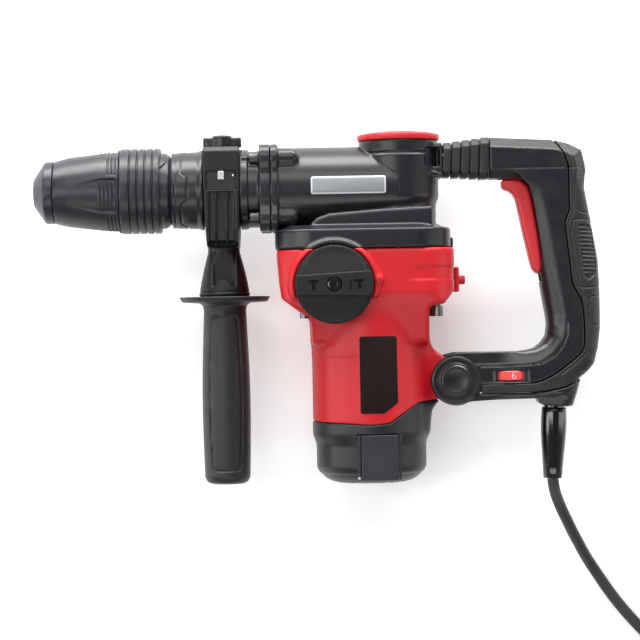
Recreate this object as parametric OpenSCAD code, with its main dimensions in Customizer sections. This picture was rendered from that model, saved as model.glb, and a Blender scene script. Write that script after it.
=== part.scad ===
// Rotary hammer, lying on its side: +X runs from the chuck to the rear handle,
// +Y from the motor end to the crank cap, +Z up, away from the floor.
// Every module is written about the tool's own datum, the front of the dust cap on the
// barrel's axis in the tool's middle plane, and placed() moves it to the part's frame.

/* [Tool socket] */
// Bore of the tool holder, a running fit on a 10 mm slotted shank
shank_bore_d = 10.1; // [10.05:0.05:10.2]
// Width of the two drive keys in the bore
key_w = 2.6; // [2.2:0.1:2.8]
// Diameter of the two locking balls
ball_d = 6.8; // [6.4:0.1:6.8]

/* [Chuck] */
// Diameter of the rubber dust cap
cap_d = 44.6; // [43.6:0.2:44.8]
// Diameter of the ridged grip ring
ring_d = 61.6; // [61:0.2:62]
// Distance that the locking sleeve is pulled back
sleeve_travel = 8; // [6:0.5:8.5]

/* [Barrel] */
// Diameter of the seat that the side handle clamps on
seat_d = 52; // [51:0.5:52.5]
// Outer diameter of the housing round the hammer mechanism
barrel_d = 58.8; // [58.4:0.2:60]
// Width of the square flange that joins the two barrels
flange_w = 62; // [61:0.5:63]

/* [Hammer mechanism] */
// Bore of the hammer cylinder
cylinder_bore_d = 28; // [27.4:0.2:28]
// Throw of the crank, half the piston's stroke
crank_throw = 11; // [10:0.5:11]
// Length of the connecting rod between its eyes
rod_length = 44; // [43.5:0.5:44.5]

/* [Housing] */
// Width of the gear housing across the tool
gear_w = 92; // [92:0.5:94]
// Outer diameter of the motor housing
motor_d = 84; // [83:0.5:84.5]
// Wall of the plastic and cast housings
wall = 3.5; // [3:0.1:3.6]
// Diameter of the mode knob
knob_d = 55.4; // [54:0.2:56]

/* [Side handle] */
// Largest diameter of the grip
grip_d = 35; // [34:0.2:36]
// Diameter of the hand flange above the grip
hand_flange_d = 64.4; // [62:0.2:66]

/* [Rear handle] */
// Width of the rear handle across the tool
handle_w = 36; // [35:0.5:37]
// Wall of the handle shells
shell_wall = 3.2; // [2.8:0.1:3.4]
// Width of the trigger across the tool
trigger_w = 17; // [15:0.5:17.5]

/* [Cord] */
// Diameter of the rubber cord
cord_d = 8.2; // [8:0.1:8.4]
// Diameter of the plug's face
plug_d = 37; // [36:0.5:38]

/* [Hidden] */

$fn = 64;
slack = 0.02;
thread_slack = 0.05;

// Where the datum lies in the part's frame
back_x = 404.7;
top_y = 40;
bottom_y = -211.6;
centre_x = back_x / 2;
centre_y = (top_y + bottom_y) / 2;
mid_z = gear_w / 2;

// Stations along the barrel, from the dust cap's front
holder_start = 7;
guide_end = 34;
ball_x = 38;
cap_end = 14.6;
sleeve_start = 15.4;
sleeve_end = 62;
ring_end = 91;
chuck_ring_end = 97;
barrel_start = ring_end + sleeve_travel + 0.4;
seat_start = 122;
seat_end = 149;
shoulder_end = 154.3;
flange_start = 162.3;
flange_end = 170.4;
boss_end = 190.5;
cylinder_end = 240;

// Radii round the barrel's axis
bore_r = shank_bore_d / 2;
guide_relief = 0.6;
holder_r = 17.5;
beat_bore_r = 9.05;
collar_bore_r = 11.3;
wrist_pin_r = 3.5;
cylinder_bore_r = cylinder_bore_d / 2;
spindle_bearing_r = 23.5;
housing_bore_r = 24;
ring_gear_r = 26;
crank_bore_r = 24.6;
barrel_r = barrel_d / 2;
seat_r = seat_d / 2;
neck_r = 27.5;
screw_at = 21;

// Vertical shafts: their places along the tool, and the pitch radii that they leave
armature_x = 239.5;
crank_x = 262.5;
layshaft_x = 214;
wrist_x = crank_x + crank_throw - rod_length;
motor_r = motor_d / 2;

// Base of the gear housing and the plate under it
base_front = 173;
base_back = 297.8;
base_bottom = -44.5;
base_top = -31;
base_corner = 26;
tub_back = 301;
plate_top = -46;
plate_bottom = -54;

// Mode knob and rear handle
knob_x = 214.6;
knob_y = -70;
knob_r = knob_d / 2;
pivot_x = 300.3;
pivot_y = -139.6;
pivot_r = 17.8;
pivot_pin_r = 5;
boss_r = 13;
boss_half = 13;
fork_half = 13.4;
handle_half = handle_w / 2;
cavity_half = handle_half - shell_wall;
trigger_pin_x = 343;
trigger_pin_y = 9;
dial_x = 339.4;
dial_r = 14;
dial_z = 5.5;
guide_y = 20;

// Side handle
side_x = 135.8;
clamp_half_z = 32.5;
clamp_foot = -41.6;
skirt_foot = -76.5;
grip_foot = -211.3;

// Cord: its route in the part's frame, from the strain relief to the coil, by hand
cord_r = cord_d / 2;
CORD_ROUTE = [[167.3, -125.5, 46], [168, -131, 46], [169, -136, 46], [171, -142, 45],
    [174, -149, 42], [178, -157, 37], [182, -165, 31], [187, -174, 24], [192, -183, 17],
    [197, -191, 11], [203, -200, 7], [209, -209, 5], [217, -220, 4.2], [226, -231, 4.1],
    [236, -242, 4.1], [247, -253, 4.1], [259, -263, 4.1], [272, -271, 4.1],
    [286, -276, 4.1], [302, -277.4, 4.1]];
TAIL_ROUTE = [[354.6, -224.8, 28.7], [354.6, -212, 28.2], [354.6, -198, 25],
    [354.6, -182, 20], [354.6, -168, 18.5]];
coil_columns = 2;
coil_layers = 4;
coil_mid_r = 48.5;
coil_outer_r = coil_mid_r + (coil_columns - 1) / 2 * cord_d;
coil_x = 302;
coil_y = -277.4 + coil_outer_r;
plug_x = coil_x + coil_outer_r;
plug_start = -168;
plug_r = plug_d / 2;

// ---- placing and shaping ------------------------------------------------------------

module placed() {
    translate([-centre_x, -centre_y, mid_z]) children();
}

// Solids of revolution about the barrel's axis: points are [x, radius]
module turned_x(points) {
    rotate([0, 90, 0]) rotate_extrude() polygon([for (p = points) [p[1], p[0]]]);
}

// Solids of revolution about an upright line at x: points are [y, radius]
module turned_y(x, points) {
    translate([x, 0, 0]) rotate([-90, 0, 0]) rotate_extrude()
        polygon([for (p = points) [p[1], p[0]]]);
}

module rod_x(x, length, r, y = 0, z = 0) {
    translate([x, y, z]) rotate([0, 90, 0]) cylinder(h = length, r = r);
}

module rod_y(x, y, length, r, z = 0) {
    translate([x, y, z]) rotate([-90, 0, 0]) cylinder(h = length, r = r);
}

module rod_z(x, y, z, length, r) {
    translate([x, y, z]) cylinder(h = length, r = r);
}

module pipe_x(x, length, r_out, r_in) {
    difference() {
        rod_x(x, length, r_out);
        rod_x(x - 1, length + 2, r_in);
    }
}

module pipe_y(x, y, length, r_out, r_in, z = 0) {
    difference() {
        rod_y(x, y, length, r_out, z);
        rod_y(x, y - 1, length + 2, r_in, z);
    }
}

// A side profile, in x and y, made z_low to z_high thick
module plate(points, z_low, z_high) {
    translate([0, 0, z_low]) linear_extrude(z_high - z_low) polygon(points);
}

// A plan shape, in x and z, standing from y_low to y_high
module plan(points, y_low, y_high) {
    translate([0, y_high, 0]) rotate([90, 0, 0]) linear_extrude(y_high - y_low) polygon(points);
}

// A cross section, in y and z, running from x_low to x_high
module section(points, x_low, x_high) {
    translate([x_low, 0, 0]) rotate([90, 0, 90]) linear_extrude(x_high - x_low) polygon(points);
}

module block(low, high) {
    translate(low) cube(high - low);
}

// Outline of a rectangle with round corners, from its low and high corners
function round_rect(low, high, r, steps = 5) = [
    for (corner = [0:3], i = [0:steps])
        let (angle = corner * 90 + i * 90 / steps,
            cx = corner == 0 || corner == 3 ? high[0] - r : low[0] + r,
            cy = corner < 2 ? high[1] - r : low[1] + r)
        [cx + r * cos(angle), cy + r * sin(angle)]];

// Outline of a gear: straight-sided teeth between the root and the tip
function gear_outline(tip_r, root_r, teeth) = [
    for (tooth = [0:teeth - 1], side = [0:3])
        let (angle = (tooth + [0, 0.2, 0.5, 0.7][side]) * 360 / teeth,
            r = side == 1 || side == 2 ? tip_r : root_r)
        [r * cos(angle), r * sin(angle)]];

module gear_y(x, y, width, tip_r, depth, teeth) {
    translate([x, y, 0]) rotate([-90, 0, 0]) linear_extrude(width)
        polygon(gear_outline(tip_r, tip_r - depth, teeth));
}

// A round bar of radius bar_r swept through points: one polyhedron with flat ends
function direction(points, i) =
    let (last = len(points) - 1, a = points[max(i - 1, 0)], b = points[min(i + 1, last)])
    (b - a) / norm(b - a);

function bar_ring(centre, along, bar_r, sides) =
    let (side = cross(along, abs(along[2]) > 0.9 ? [1, 0, 0] : [0, 0, 1]),
        u = side / norm(side), v = cross(along, u))
    [for (i = [0:sides - 1])
        centre + bar_r * (cos(i * 360 / sides) * u + sin(i * 360 / sides) * v)];

module swept_bar(points, bar_r, sides) {
    rings = len(points);
    polyhedron(
        points = [for (i = [0:rings - 1])
            each bar_ring(points[i], direction(points, i), bar_r, sides)],
        faces = concat(
            [[for (s = [0:sides - 1]) s]],
            [for (i = [0:rings - 2], s = [0:sides - 1])
                let (t = (s + 1) % sides, a = i * sides, b = (i + 1) * sides)
                each [[a + s, b + s, b + t], [a + s, b + t, a + t]]],
            [[for (s = [sides - 1:-1:0]) (rings - 1) * sides + s]]));
}

// A compression spring along +X
module spring_x(x, length, r, wire_r, turns) {
    steps = turns * 12;
    swept_bar([for (i = [0:steps])
        [x + wire_r + (length - 2 * wire_r) * i / steps, r * cos(i * 30), r * sin(i * 30)]],
        wire_r, 6);
}

// ---- side profiles ------------------------------------------------------------------

TUB_PROFILE = [[173, -44.5], [175.4, -68.5], [176.9, -79.2], [189.1, -88.5], [196, -93.6],
    [198.4, -98.6], [198.4, -110], [281.5, -110], [281.8, -96.8], [291, -86],
    [300.5, -74.8], [301, -44.5]];

CAP_LINE = [[190, -165.7], [205, -167.6], [240, -169.4], [252, -168.4], [273, -154.5],
    [288, -152.8], [310, -152.8], [310, -220], [190, -220]];

HANDLE_PROFILE = [[327, 34.3], [371, 31.5], [376, 30.9], [383.2, 28.8], [393.2, 24],
    [396.2, 10.7], [394.9, -2.7], [398, -20.2], [401.2, -38], [403.8, -55], [404.7, -75],
    [404.7, -103.6], [402.8, -118], [400, -129], [395.4, -134.6], [390.5, -138.6],
    [388, -148], [384.3, -159.4], [380.5, -159.8], [362.5, -158.2], [359.8, -156.4],
    [358.8, -153.4], [330, -153.8], [306, -155], [300.3, -151], [292, -121.5],
    [300.3, -119.6], [345, -119.6], [351, -119], [357.5, -117.5], [362.5, -113.5],
    [365.8, -108], [366.7, -101], [366.2, -95], [364, -82], [361.2, -65], [363.8, -54],
    [361.4, -35], [358.3, -14], [355, -1], [351, 3], [346, 4.3], [327, 4.2]];

// The soft cover: the line where it meets the shells, then out round the back
COVER_PROFILE = [[373.5, 33], [373.5, 30.9], [377, 27], [381, 20], [383.3, 12.5],
    [383.5, -19], [380.3, -27], [380.5, -32], [382.5, -50], [384.5, -70], [386.5, -75.5],
    [390.5, -82], [392.3, -90], [393, -105], [392.5, -117], [390.5, -121.5], [384, -127],
    [372, -136], [362, -141], [356, -142.4], [318, -142.5], [318, -149.3], [355, -149.2],
    [366, -148], [378, -145.5], [386, -142], [391.3, -137.9], [410, -137], [410, 33]];

TRIGGER_PROFILE = [[336, 3.9], [336, -1.6], [337.5, -3.2], [340.5, -4.3], [343.5, -6.5],
    [345.8, -10], [350, -31], [355, -54], [357, -60.5], [359.3, -63.4], [362, -64.3],
    [364, -62], [364.3, -57], [361.8, -36], [358.3, -14], [355.3, -1.5], [350.5, 3.2],
    [346, 3.9]];

TRIGGER_SLOT = [[334, 13], [334, -10], [345, -10], [352, -64], [357, -70], [372, -70],
    [377, -62], [368, -20], [360, 13]];

// ---- housing ------------------------------------------------------------------------

module barrel_flange(x_low, x_high) {
    half = flange_w / 2;
    section(round_rect([-half, -half], [half, half], 12), x_low, x_high);
}

module at_screws() {
    for (y = [-screw_at, screw_at], z = [-screw_at, screw_at]) translate([0, y, z]) children();
}

module base_plan(back, inset, y_low, y_high) {
    half = mid_z - inset;
    plan(round_rect([base_front + inset, -half], [back - inset, half], base_corner - inset),
        y_low, y_high);
}

module at_housing_screws() {
    for (x = [193.4, 287.6], z = [-33, 33]) translate([x, 0, z]) children();
}

module gear_housing() color("#2b2b2e") placed() {
    crank_case_r = 28.4;
    difference() {
        union() {
            barrel_flange(flange_end, 176);
            rod_x(flange_end, crank_x - flange_end, barrel_r);
            at_screws() rod_x(flange_end, boss_end - flange_end, 6.5);
            rod_y(crank_x, base_top, 33 - base_top, crank_case_r);
            plate([[196, -31], [203, -23], [212, -19.2], [250, -16.5], [285, -15], [285, -31]],
                -38, 38);
            base_plan(base_back, 0, base_bottom, base_top);
            base_plan(base_back, 4, base_top, -27.8);
            intersection() {
                rod_z(knob_x, knob_y, 38, 10.5, 32.4);
                block([170, base_bottom, 38], [260, -30, 50]);
            }
            block([270, 5.6, -15.5], [293.8, 31, 15.5]);
            block([290, base_bottom, -8], [300.6, -37, 8]);
        }
        rod_x(160, 55, housing_bore_r);
        rod_x(214, crank_x - 214, ring_gear_r + 1.2);
        rod_y(crank_x, -34, 80, crank_bore_r);
        base_plan(base_back, wall + 2, base_bottom - 1, -34);
        rod_y(layshaft_x, -35, 18, 12);
        block([283, 12, -10], [300, 28, 10]);
        rod_z(knob_x, knob_y, 30, 30, knob_r + 0.6);
        at_screws() rod_x(160, 27, 2.5 + thread_slack);
        at_housing_screws() rod_y(0, -60, 27, 2 + thread_slack);
    }
    at_housing_screws() pipe_y(0, base_bottom, 12, 6, 2 + thread_slack);
}

module front_barrel() color("#3a3a3e") placed() difference() {
    union() {
        turned_x([[barrel_start, 0], [barrel_start, 26], [100.6, 27.2], [107.2, 27.2],
            [107.2, 26.6], [108, neck_r], [118, neck_r + 0.2], [120, 28.7], [seat_start, 28.7],
            [seat_start, seat_r], [seat_end, seat_r], [seat_end, 28.7], [shoulder_end, 28.7],
            [shoulder_end, neck_r], [flange_start, neck_r], [flange_start, 0]]);
        barrel_flange(flange_start, flange_end);
    }
    rod_x(90, 100, 21);
    rod_x(90, 23, spindle_bearing_r);
    at_screws() {
        rod_x(150, 30, 2.7);
        rod_x(shoulder_end, flange_start - shoulder_end, 5.4);
    }
}

module barrel_screws() color("#4a4a4c") placed() at_screws() difference() {
    union() {
        rod_x(155.4, 4.9, 4.2);
        rod_x(160.3, 24, 2.5);
    }
    translate([155, 0, 0]) rotate([0, 90, 0]) cylinder(h = 3, r = 2.2, $fn = 6);
}

module lock_washers() color("silver") placed() at_screws() pipe_x(160.3, 2, 4.6, 2.6);

module crank_cap() color("#d8242c") placed() turned_y(crank_x, [[24, 0], [24, 22],
    [25, 24.4], [33, 24.4], [33, 29.3], [37.2, 29.7], [38.6, 27], [39.6, 18], [top_y, 10],
    [top_y, 0]]);

module motor_housing() color("#d2232b") placed() difference() {
    union() {
        motor_housing_shell();
        at_housing_screws() rod_y(0, -88, 43.5, 6.2);
    }
    at_housing_screws() rod_y(0, -100, 13.6, 4.6);
    at_housing_screws() rod_y(0, -100, 60, 2 + 2 * thread_slack);
}

module motor_housing_shell() difference() {
    union() {
        intersection() {
            plate(TUB_PROFILE, -mid_z, mid_z);
            base_plan(tub_back, 0, -98, base_bottom);
        }
        rod_y(armature_x, -172, 90, motor_r);
        intersection() {
            rod_z(knob_x, knob_y, 38, 10.5, 32.4);
            plate([[170, -45], [260, -45], [260, -97], [203, -97], [176, -75]], 38, 48.5);
        }
        plate([[270, -116], [284, -116], [290.5, -119.5], [297, -127], [297, -152],
            [288, -152], [270, -154]], -boss_half, boss_half);
        rod_z(pivot_x, pivot_y, -boss_half, 2 * boss_half, boss_r);
    }
    intersection() {
        plate([[170, -44], [178.5, -76], [192, -86.5], [204, -92], [274, -92], [297, -73],
            [303, -44]], -mid_z, mid_z);
        base_plan(tub_back, wall, -99, -40);
    }
    rod_y(armature_x, -180, 98, motor_r - wall);
    rod_z(knob_x, knob_y, 30, 30, 8.3);
    rod_z(knob_x, knob_y, 46.3, 10, knob_r + 0.6);
    rod_z(pivot_x, pivot_y, -20, 40, 9);
    plate(CAP_LINE, -60, 60);
}

module housing_screws() color("silver") placed() at_housing_screws() difference() {
    union() {
        rod_y(0, -93.4, 7, 3.4);
        rod_y(0, -93.4, 59, 2);
    }
    translate([0, -94, 0]) rotate([-90, 0, 0]) cylinder(h = 3, r = 1.9, $fn = 6);
}

module end_cap() color("#2f2f32") placed() difference() {
    union() {
        intersection() {
            turned_y(armature_x, [[bottom_y, 0], [bottom_y, 20], [-209, 31], [-205, 36],
                [-200, 39.4], [-187, 39.8], [-179, motor_r], [-150, motor_r], [-150, 0]]);
            plate(CAP_LINE, -60, 60);
        }
        plate([[265, -162], [273, -155], [288, -153.2], [288.4, -154], [283, -160],
            [281, -170], [268, -170]], -20, 20);
    }
    difference() {
        union() {
            rod_y(armature_x, -203, 50, 35.5);
            rod_y(armature_x, bottom_y + wall, 10, 30);
        }
        pipe_y(armature_x, bottom_y, 22, 14.5, 11);
    }
    rod_y(armature_x, -172, 40, motor_r - wall);
    rod_y(armature_x, -196, 10, 11);
    at_brushes() block([-15.8, -208.7, 38.2], [15.8, -176, 50]);
}

module at_brushes() {
    for (turn = [0, 180]) translate([244.4, 0, 0]) rotate([0, turn, 0]) children();
}

module brush_covers() color("#333336") placed() at_brushes()
    plan(round_rect([-15.6, 38.3], [15.6, 43], 2), -208.6, -176.1);

module rear_stop() color("#e02a2a") placed() {
    block([tub_back, -76.2, -11], [304.2, -58.2, 11]);
    rod_x(304, 5, 3.2, -67.4);
}

module badge() color("#c8c9cc") placed() intersection() {
    pipe_x(199, 53, barrel_r + 0.8, barrel_r);
    plate(round_rect([199, -5.5], [252, 7], 1.5), 20, 40);
}

module nameplate() color("#1c1614") placed() intersection() {
    pipe_y(armature_x, -163, 58, motor_r + 0.5, motor_r);
    plate([[231.5, -106.8], [257.7, -106.8], [257.7, -154.6], [247, -161.4], [231.5, -161.4]],
        30, 50);
}

module gear_plate() color("#b9bcc0") placed() difference() {
    union() {
        base_plan(base_back, wall + 0.1, plate_bottom, plate_top);
        rod_y(armature_x, -64, 12, 17);
    }
    rod_y(armature_x, -70, 40, 6.5);
    rod_y(armature_x, -70, 15.5, 14);
    for (x = [crank_x, layshaft_x]) rod_y(x, -53, 20, 9.5);
    at_housing_screws() rod_y(0, -60, 30, 7);
}

module spindle_seal() color("#1d1d1f") placed()
    pipe_x(100.5, 5, spindle_bearing_r, holder_r + slack);

module spindle_bearing() color("#c6c9cc") placed()
    pipe_x(105.8, 7, spindle_bearing_r, holder_r + slack);

module cylinder_bearing() color("#c6c9cc") placed()
    pipe_x(184, 12, housing_bore_r, holder_r + slack);

module shaft_bearings() color("#c6c9cc") placed() {
    for (x = [crank_x, layshaft_x]) pipe_y(x, -53, 7, 9.5, 4 + slack);
    difference() {
        rod_y(crank_x, -25, 7, crank_bore_r);
        rod_y(crank_x, -26, 9, 8 + slack);
    }
    difference() {
        rod_y(layshaft_x, -33.5, 3, 12);
        rod_y(layshaft_x, -34, 4, 4.5 + slack);
    }
}

module armature_bearings() color("#c6c9cc") placed() {
    pipe_y(armature_x, -62.5, 8, 14, 6 + slack);
    pipe_y(armature_x, -196, 7, 11, 4 + slack);
}

module stator_core() color("#7d7f82") placed() difference() {
    rod_y(armature_x, -156, 50, motor_r - wall);
    rod_y(armature_x, -157, 52, 23.4);
    for (side = [-1, 1]) rod_y(armature_x + side * 31, -157, 52, 5);
}

module field_coils() color("#a85a28") placed() {
    for (y = [-162, -106]) pipe_y(armature_x, y, 6, 34, 24.5);
    for (side = [-1, 1]) rod_y(armature_x + side * 31, -156, 50, 5);
}

module brush_holders() color("#b5a04a") placed() {
    for (side = [0, 1]) translate([armature_x, 0, 0]) rotate([0, side * 180, 0]) difference() {
        block([-6, -180.5, 16], [6, -166.5, 35]);
        block([-3.6, -178.5, 15], [3.6, -168.5, 32]);
    }
}

module carbon_brushes() color("#3c3c3e") placed() {
    for (side = [0, 1]) translate([armature_x, 0, 0]) rotate([0, side * 180, 0])
        block([-3.5, -178.4, 14.6], [3.5, -168.6, 31]);
}

module pivot_bush() color("#222224") placed() difference() {
    rod_z(pivot_x, pivot_y, -boss_half, 2 * boss_half, 9);
    rod_z(pivot_x, pivot_y, -20, 40, pivot_pin_r + 0.05);
}

module guide_pin() color("silver") placed() {
    rod_x(283, 50, 4, guide_y);
    rod_x(332.5, 2.5, 6, guide_y);
}

// ---- spindle and chuck --------------------------------------------------------------

module tool_holder() color("#9da0a4") placed() {
    difference() {
        turned_x([[holder_start, 0], [holder_start, 12], [19, 12], [19, 10.6], [51, 10.6],
            [51, 14], [58, 14], [60, holder_r], [108, holder_r], [108, 15.5], [118, 15.5],
            [118, 0]]);
        rod_x(holder_start - 1, 60, bore_r);
        rod_x(guide_end, 40, bore_r + guide_relief);
        rod_x(62, 40, beat_bore_r);
        rod_x(92, 30, collar_bore_r);
        for (turn = [0, 180]) rotate([turn, 0, 0]) rod_z(ball_x, 0, 0, 20, ball_d / 2 + 0.05);
    }
    for (side = [-1, 1]) translate([0, side * 5.1, 0])
        block([46, -1.3, -key_w / 2], [58, 1.3, key_w / 2]);
}

module hammer_cylinder() color("#a9acb0") placed() difference() {
    rod_x(108, cylinder_end - 108, holder_r);
    rod_x(107, cylinder_end, cylinder_bore_r);
    rod_x(107, 11, 15.5);
}

module bevel_ring_gear() color("#8f9296") placed() difference() {
    union() {
        rod_x(226, 8, ring_gear_r);
        for (i = [0:19]) rotate([i * 18, 0, 0]) block([224.2, -1.6, 19], [227, 1.6, 25.4]);
    }
    rod_x(220, 20, holder_r);
}

module chuck_ring() color("#3f3f43") placed() difference() {
    turned_x([[76, holder_r], [76, 27], [96, 27], [chuck_ring_end, 26], [chuck_ring_end, holder_r]]);
    for (i = [0:3]) rotate([i * 90 + 38, 0, 0])
        plate([[92.5, -5], [99, -9], [99, 3], [92.5, -1]], 24.5, 30);
}

module locking_balls() color("silver") placed() {
    for (side = [-1, 1]) translate([ball_x, 0, side * 7.15]) sphere(r = ball_d / 2);
}

module dust_cap() color("#33363f") placed() turned_x([[0, 5.7], [0, 10.4], [0.9, 11.6],
    [7.8, 21.4], [9.6, cap_d / 2], [cap_end, cap_d / 2], [cap_end, 12], [7, 12], [7, 5.7]]);

module locking_sleeve() color("#36363a") placed() difference() {
    turned_x([[sleeve_start, 18.5], [sleeve_start, 22.2], [17.5, 23.2], [25, 24.9],
        [35, 26.6], [45, 28.4], [54, 29.6], [sleeve_end, 30], [sleeve_end, 26.6], [42, 24.4],
        [42, 10.9], [34, 10.9], [34, 23], [20, 19.5]]);
    for (i = [0:3]) rotate([i * 90 + 7, 0, 0])
        plate([[30, -2], [60.5, -11.5], [60.5, 11.5], [30, 2]], 28, 40);
}

module grip_ring() color("#36363a") placed() turned_x(concat(
    [[sleeve_end, 27.6], [sleeve_end, ring_d / 2 - 0.3], [63, ring_d / 2]],
    [for (i = [0:3], step = [0:3]) [69 + i * 5.3 + [0, 0.6, 1.2, 1.8][step],
        ring_d / 2 - [0, 1, 1, 0][step]]],
    [[ring_end - 0.6, ring_d / 2], [ring_end, ring_d / 2 - 0.6], [ring_end, 27.6]]));

module sleeve_spring() color("silver") placed() spring_x(42.2, 15.8, 15.8, 0.9, 4);

module beat_piece() color("#84878b") placed() turned_x([[66, 0], [66, 4.2], [67, 4.9],
    [70, 4.9], [72, beat_bore_r - slack], [93, beat_bore_r - slack], [97, 11], [104, 11],
    [106, 8.4], [125, 8.4], [126, 7.4], [126, 0]]);

module ram() color("#909397") placed() turned_x([[140, 0], [140, 8], [141, 9], [148, 9],
    [150, cylinder_bore_r - slack], [174, cylinder_bore_r - slack], [174, 0]]);

module piston() color("#a4a7ab") placed() {
    difference() {
        rod_x(wrist_x - 18, 26, cylinder_bore_r - slack);
        rod_x(wrist_x - 11, 30, 11);
    }
    rod_y(wrist_x, -12, 24, wrist_pin_r);
}

module connecting_rod() color("#8d9094") placed() difference() {
    union() {
        rod_y(wrist_x, -4, 8, 6.5);
        rod_y(crank_x + crank_throw, -4, 8, 9.5);
        block([wrist_x, -3, -4], [crank_x + crank_throw, 3, 4]);
    }
    rod_y(wrist_x, -5, 10, wrist_pin_r + slack);
    rod_y(crank_x + crank_throw, -5, 10, 5.6);
}

// ---- shafts -------------------------------------------------------------------------

module crankshaft() color("#8a8d91") placed() {
    turned_y(crank_x, [[-52.5, 0], [-52.5, 4], [-45.5, 4], [-45.5, 7], [-26, 7], [-26, 8],
        [-15, 8], [-15, 19], [-8.5, 19], [-8.5, 0]]);
    rod_y(crank_x + crank_throw, -9, 4.2, 5.5);
    gear_y(crank_x, -43.5, 8, 17.4, 2.4, 25);
}

module layshaft() color("#8a8d91") placed() {
    turned_y(layshaft_x, [[-52.5, 0], [-52.5, 4], [-45.5, 4], [-45.5, 6], [-34, 6],
        [-33.9, 4.5], [-30, 4.5], [-30, 6], [-20, 6], [-20, 0]]);
    gear_y(layshaft_x, -43.5, 8, 20, 2.4, 28);
    gear_y(layshaft_x, -29.9, 9, 9.4, 2.6, 8);
}

module armature() color("#6f7275") placed() {
    turned_y(armature_x, [[-200, 0], [-200, 4], [-188.8, 4], [-188.8, 6], [-182, 6],
        [-182, 8], [-165, 8], [-165, 16], [-158, 21], [-154, 22.6], [-108, 22.6], [-104, 21],
        [-99, 14], [-97, 8], [-64, 8], [-64, 6], [-54, 6], [-54, 4], [-36, 4], [-36, 0]]);
    gear_y(armature_x, -43.5, 7, 5, 1.6, 7);
    fan();
}

module fan() {
    rod_y(armature_x, -95, 2, 33);
    for (i = [0:11]) translate([armature_x, -93.5, 0]) rotate([0, i * 30, 0])
        block([14, 0, -0.8], [32, 9, 0.8]);
}

module commutator() color("#b0713c") placed() pipe_y(armature_x, -180, 14.5, 14.3, 8);

// ---- controls -----------------------------------------------------------------------

module mode_knob() color("#303231") placed() difference() {
    union() {
        rod_z(knob_x, knob_y, 32, 16, 8.2);
        rod_z(knob_x, knob_y, 46.8, 6.4, knob_r);
        intersection() {
            rod_z(knob_x, knob_y, 50, 8, knob_r - 0.6);
            block([180, knob_y - 8, 50], [250, knob_y + 8, 58]);
        }
    }
    rod_z(knob_x, knob_y, 50.5, 10, 5.2);
}

module mode_button() color("#0c0c0c") placed() rod_z(knob_x, knob_y, 54.2, 3.4, 5);

// ---- rear handle --------------------------------------------------------------------

module handle_outline() {
    polygon(HANDLE_PROFILE);
    translate([pivot_x, pivot_y]) circle(r = pivot_r);
}

module handle_body(z_low, z_high) {
    translate([0, 0, z_low]) linear_extrude(z_high - z_low) handle_outline();
}

module handle_hollows() {
    translate([0, 0, -cavity_half]) linear_extrude(2 * cavity_half)
        offset(delta = -shell_wall) polygon(HANDLE_PROFILE);
    block([275, -165, -fork_half], [318.5, -110, fork_half]);
    rod_x(320, 20, 5.6, guide_y);
    rod_z(pivot_x, pivot_y, -40, 80, pivot_pin_r);
}

module shell(z_low, z_high) {
    difference() {
        handle_body(z_low, z_high);
        handle_hollows();
        plate(COVER_PROFILE, -30, 30);
        plate(TRIGGER_SLOT, -trigger_w / 2 - 0.6, trigger_w / 2 + 0.6);
        translate([371.4, -140, 0]) rotate([0, 0, -2]) rod_y(0, -22, 14, 8);
    }
}

module handle_shell_left() color("#2e2e31") placed() {
    difference() {
        shell(0, handle_half);
        block([330, -140.4, 10], [348.8, -133, 30]);
        rod_y(dial_x, -140.6, 7.8, dial_r + 0.5, dial_z);
    }
    rod_z(trigger_pin_x, trigger_pin_y, 0, cavity_half, 2);
}

module handle_shell_right() color("#2e2e31") placed() {
    shell(-handle_half, 0);
    rod_z(trigger_pin_x, trigger_pin_y, -cavity_half, cavity_half, 2);
}

module rear_grip_cover() color("#37373b") placed() difference() {
    intersection() {
        handle_body(-handle_half, handle_half);
        plate(COVER_PROFILE, -30, 30);
    }
    handle_hollows();
    for (side = [-1, 1], i = [0:11]) translate([395 - 0.17 * (11 - i), -29 - i * 3, side * handle_half])
        cube([7, 1.2, 1.2], center = true);
}

module pivot_caps() color("#2c2c2f") placed() {
    rod_z(pivot_x, pivot_y, -handle_half - 2.6, 2.6, pivot_r);
    rod_z(pivot_x, pivot_y, handle_half, 2.6, pivot_r);
    rod_z(pivot_x, pivot_y, -handle_half - 3.4, 1.4, 10.4);
    rod_z(pivot_x, pivot_y, handle_half + 2, 1.4, 10.4);
    rod_z(pivot_x, pivot_y, -handle_half, handle_w, pivot_pin_r);
}

module switch_module() color("#1a1a1c") placed() {
    block([353, 7.5, -9], [379, 26, 9]);
    block([356, 26, -6], [362, 28, 6]);
    block([367, 26, -6], [373, 28, 6]);
}

module bellows() color("#2f2f32") placed() difference() {
    union() {
        for (i = [0:4]) {
            low = 6 - 0.4 * i;
            high = 30.8 + 0.8 * i;
            section(round_rect([low, -14.5 - 0.25 * i], [high, 14.5 + 0.25 * i], 4),
                293.8 + i * 6.6, 293.8 + i * 6.6 + 5);
            section(round_rect([low + 1.6, -13 - 0.25 * i], [high - 1.6, 13 + 0.25 * i], 4),
                293.8 + i * 6.6, i < 4 ? 293.8 + i * 6.6 + 6.6 : 327);
        }
    }
    section(round_rect([9, -11], [28, 11], 3), 290, 330);
}

module handle_spring() color("silver") placed() translate([0, guide_y, 0])
    spring_x(296, 30.5, 6.6, 0.9, 6);

module strain_relief() color("#0e0e11") placed() translate([371.5, -158, 0]) rotate([0, 0, -2.04])
    turned_y(0, [[-53.3, 0], [-53.3, 6.9], [-44, 7.3], [-32, 8.3], [-20, 9.2], [-12, 9.3],
        [-2.3, 9], [-2.3, 7.6], [8, 7.6], [8, 0]]);

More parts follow.
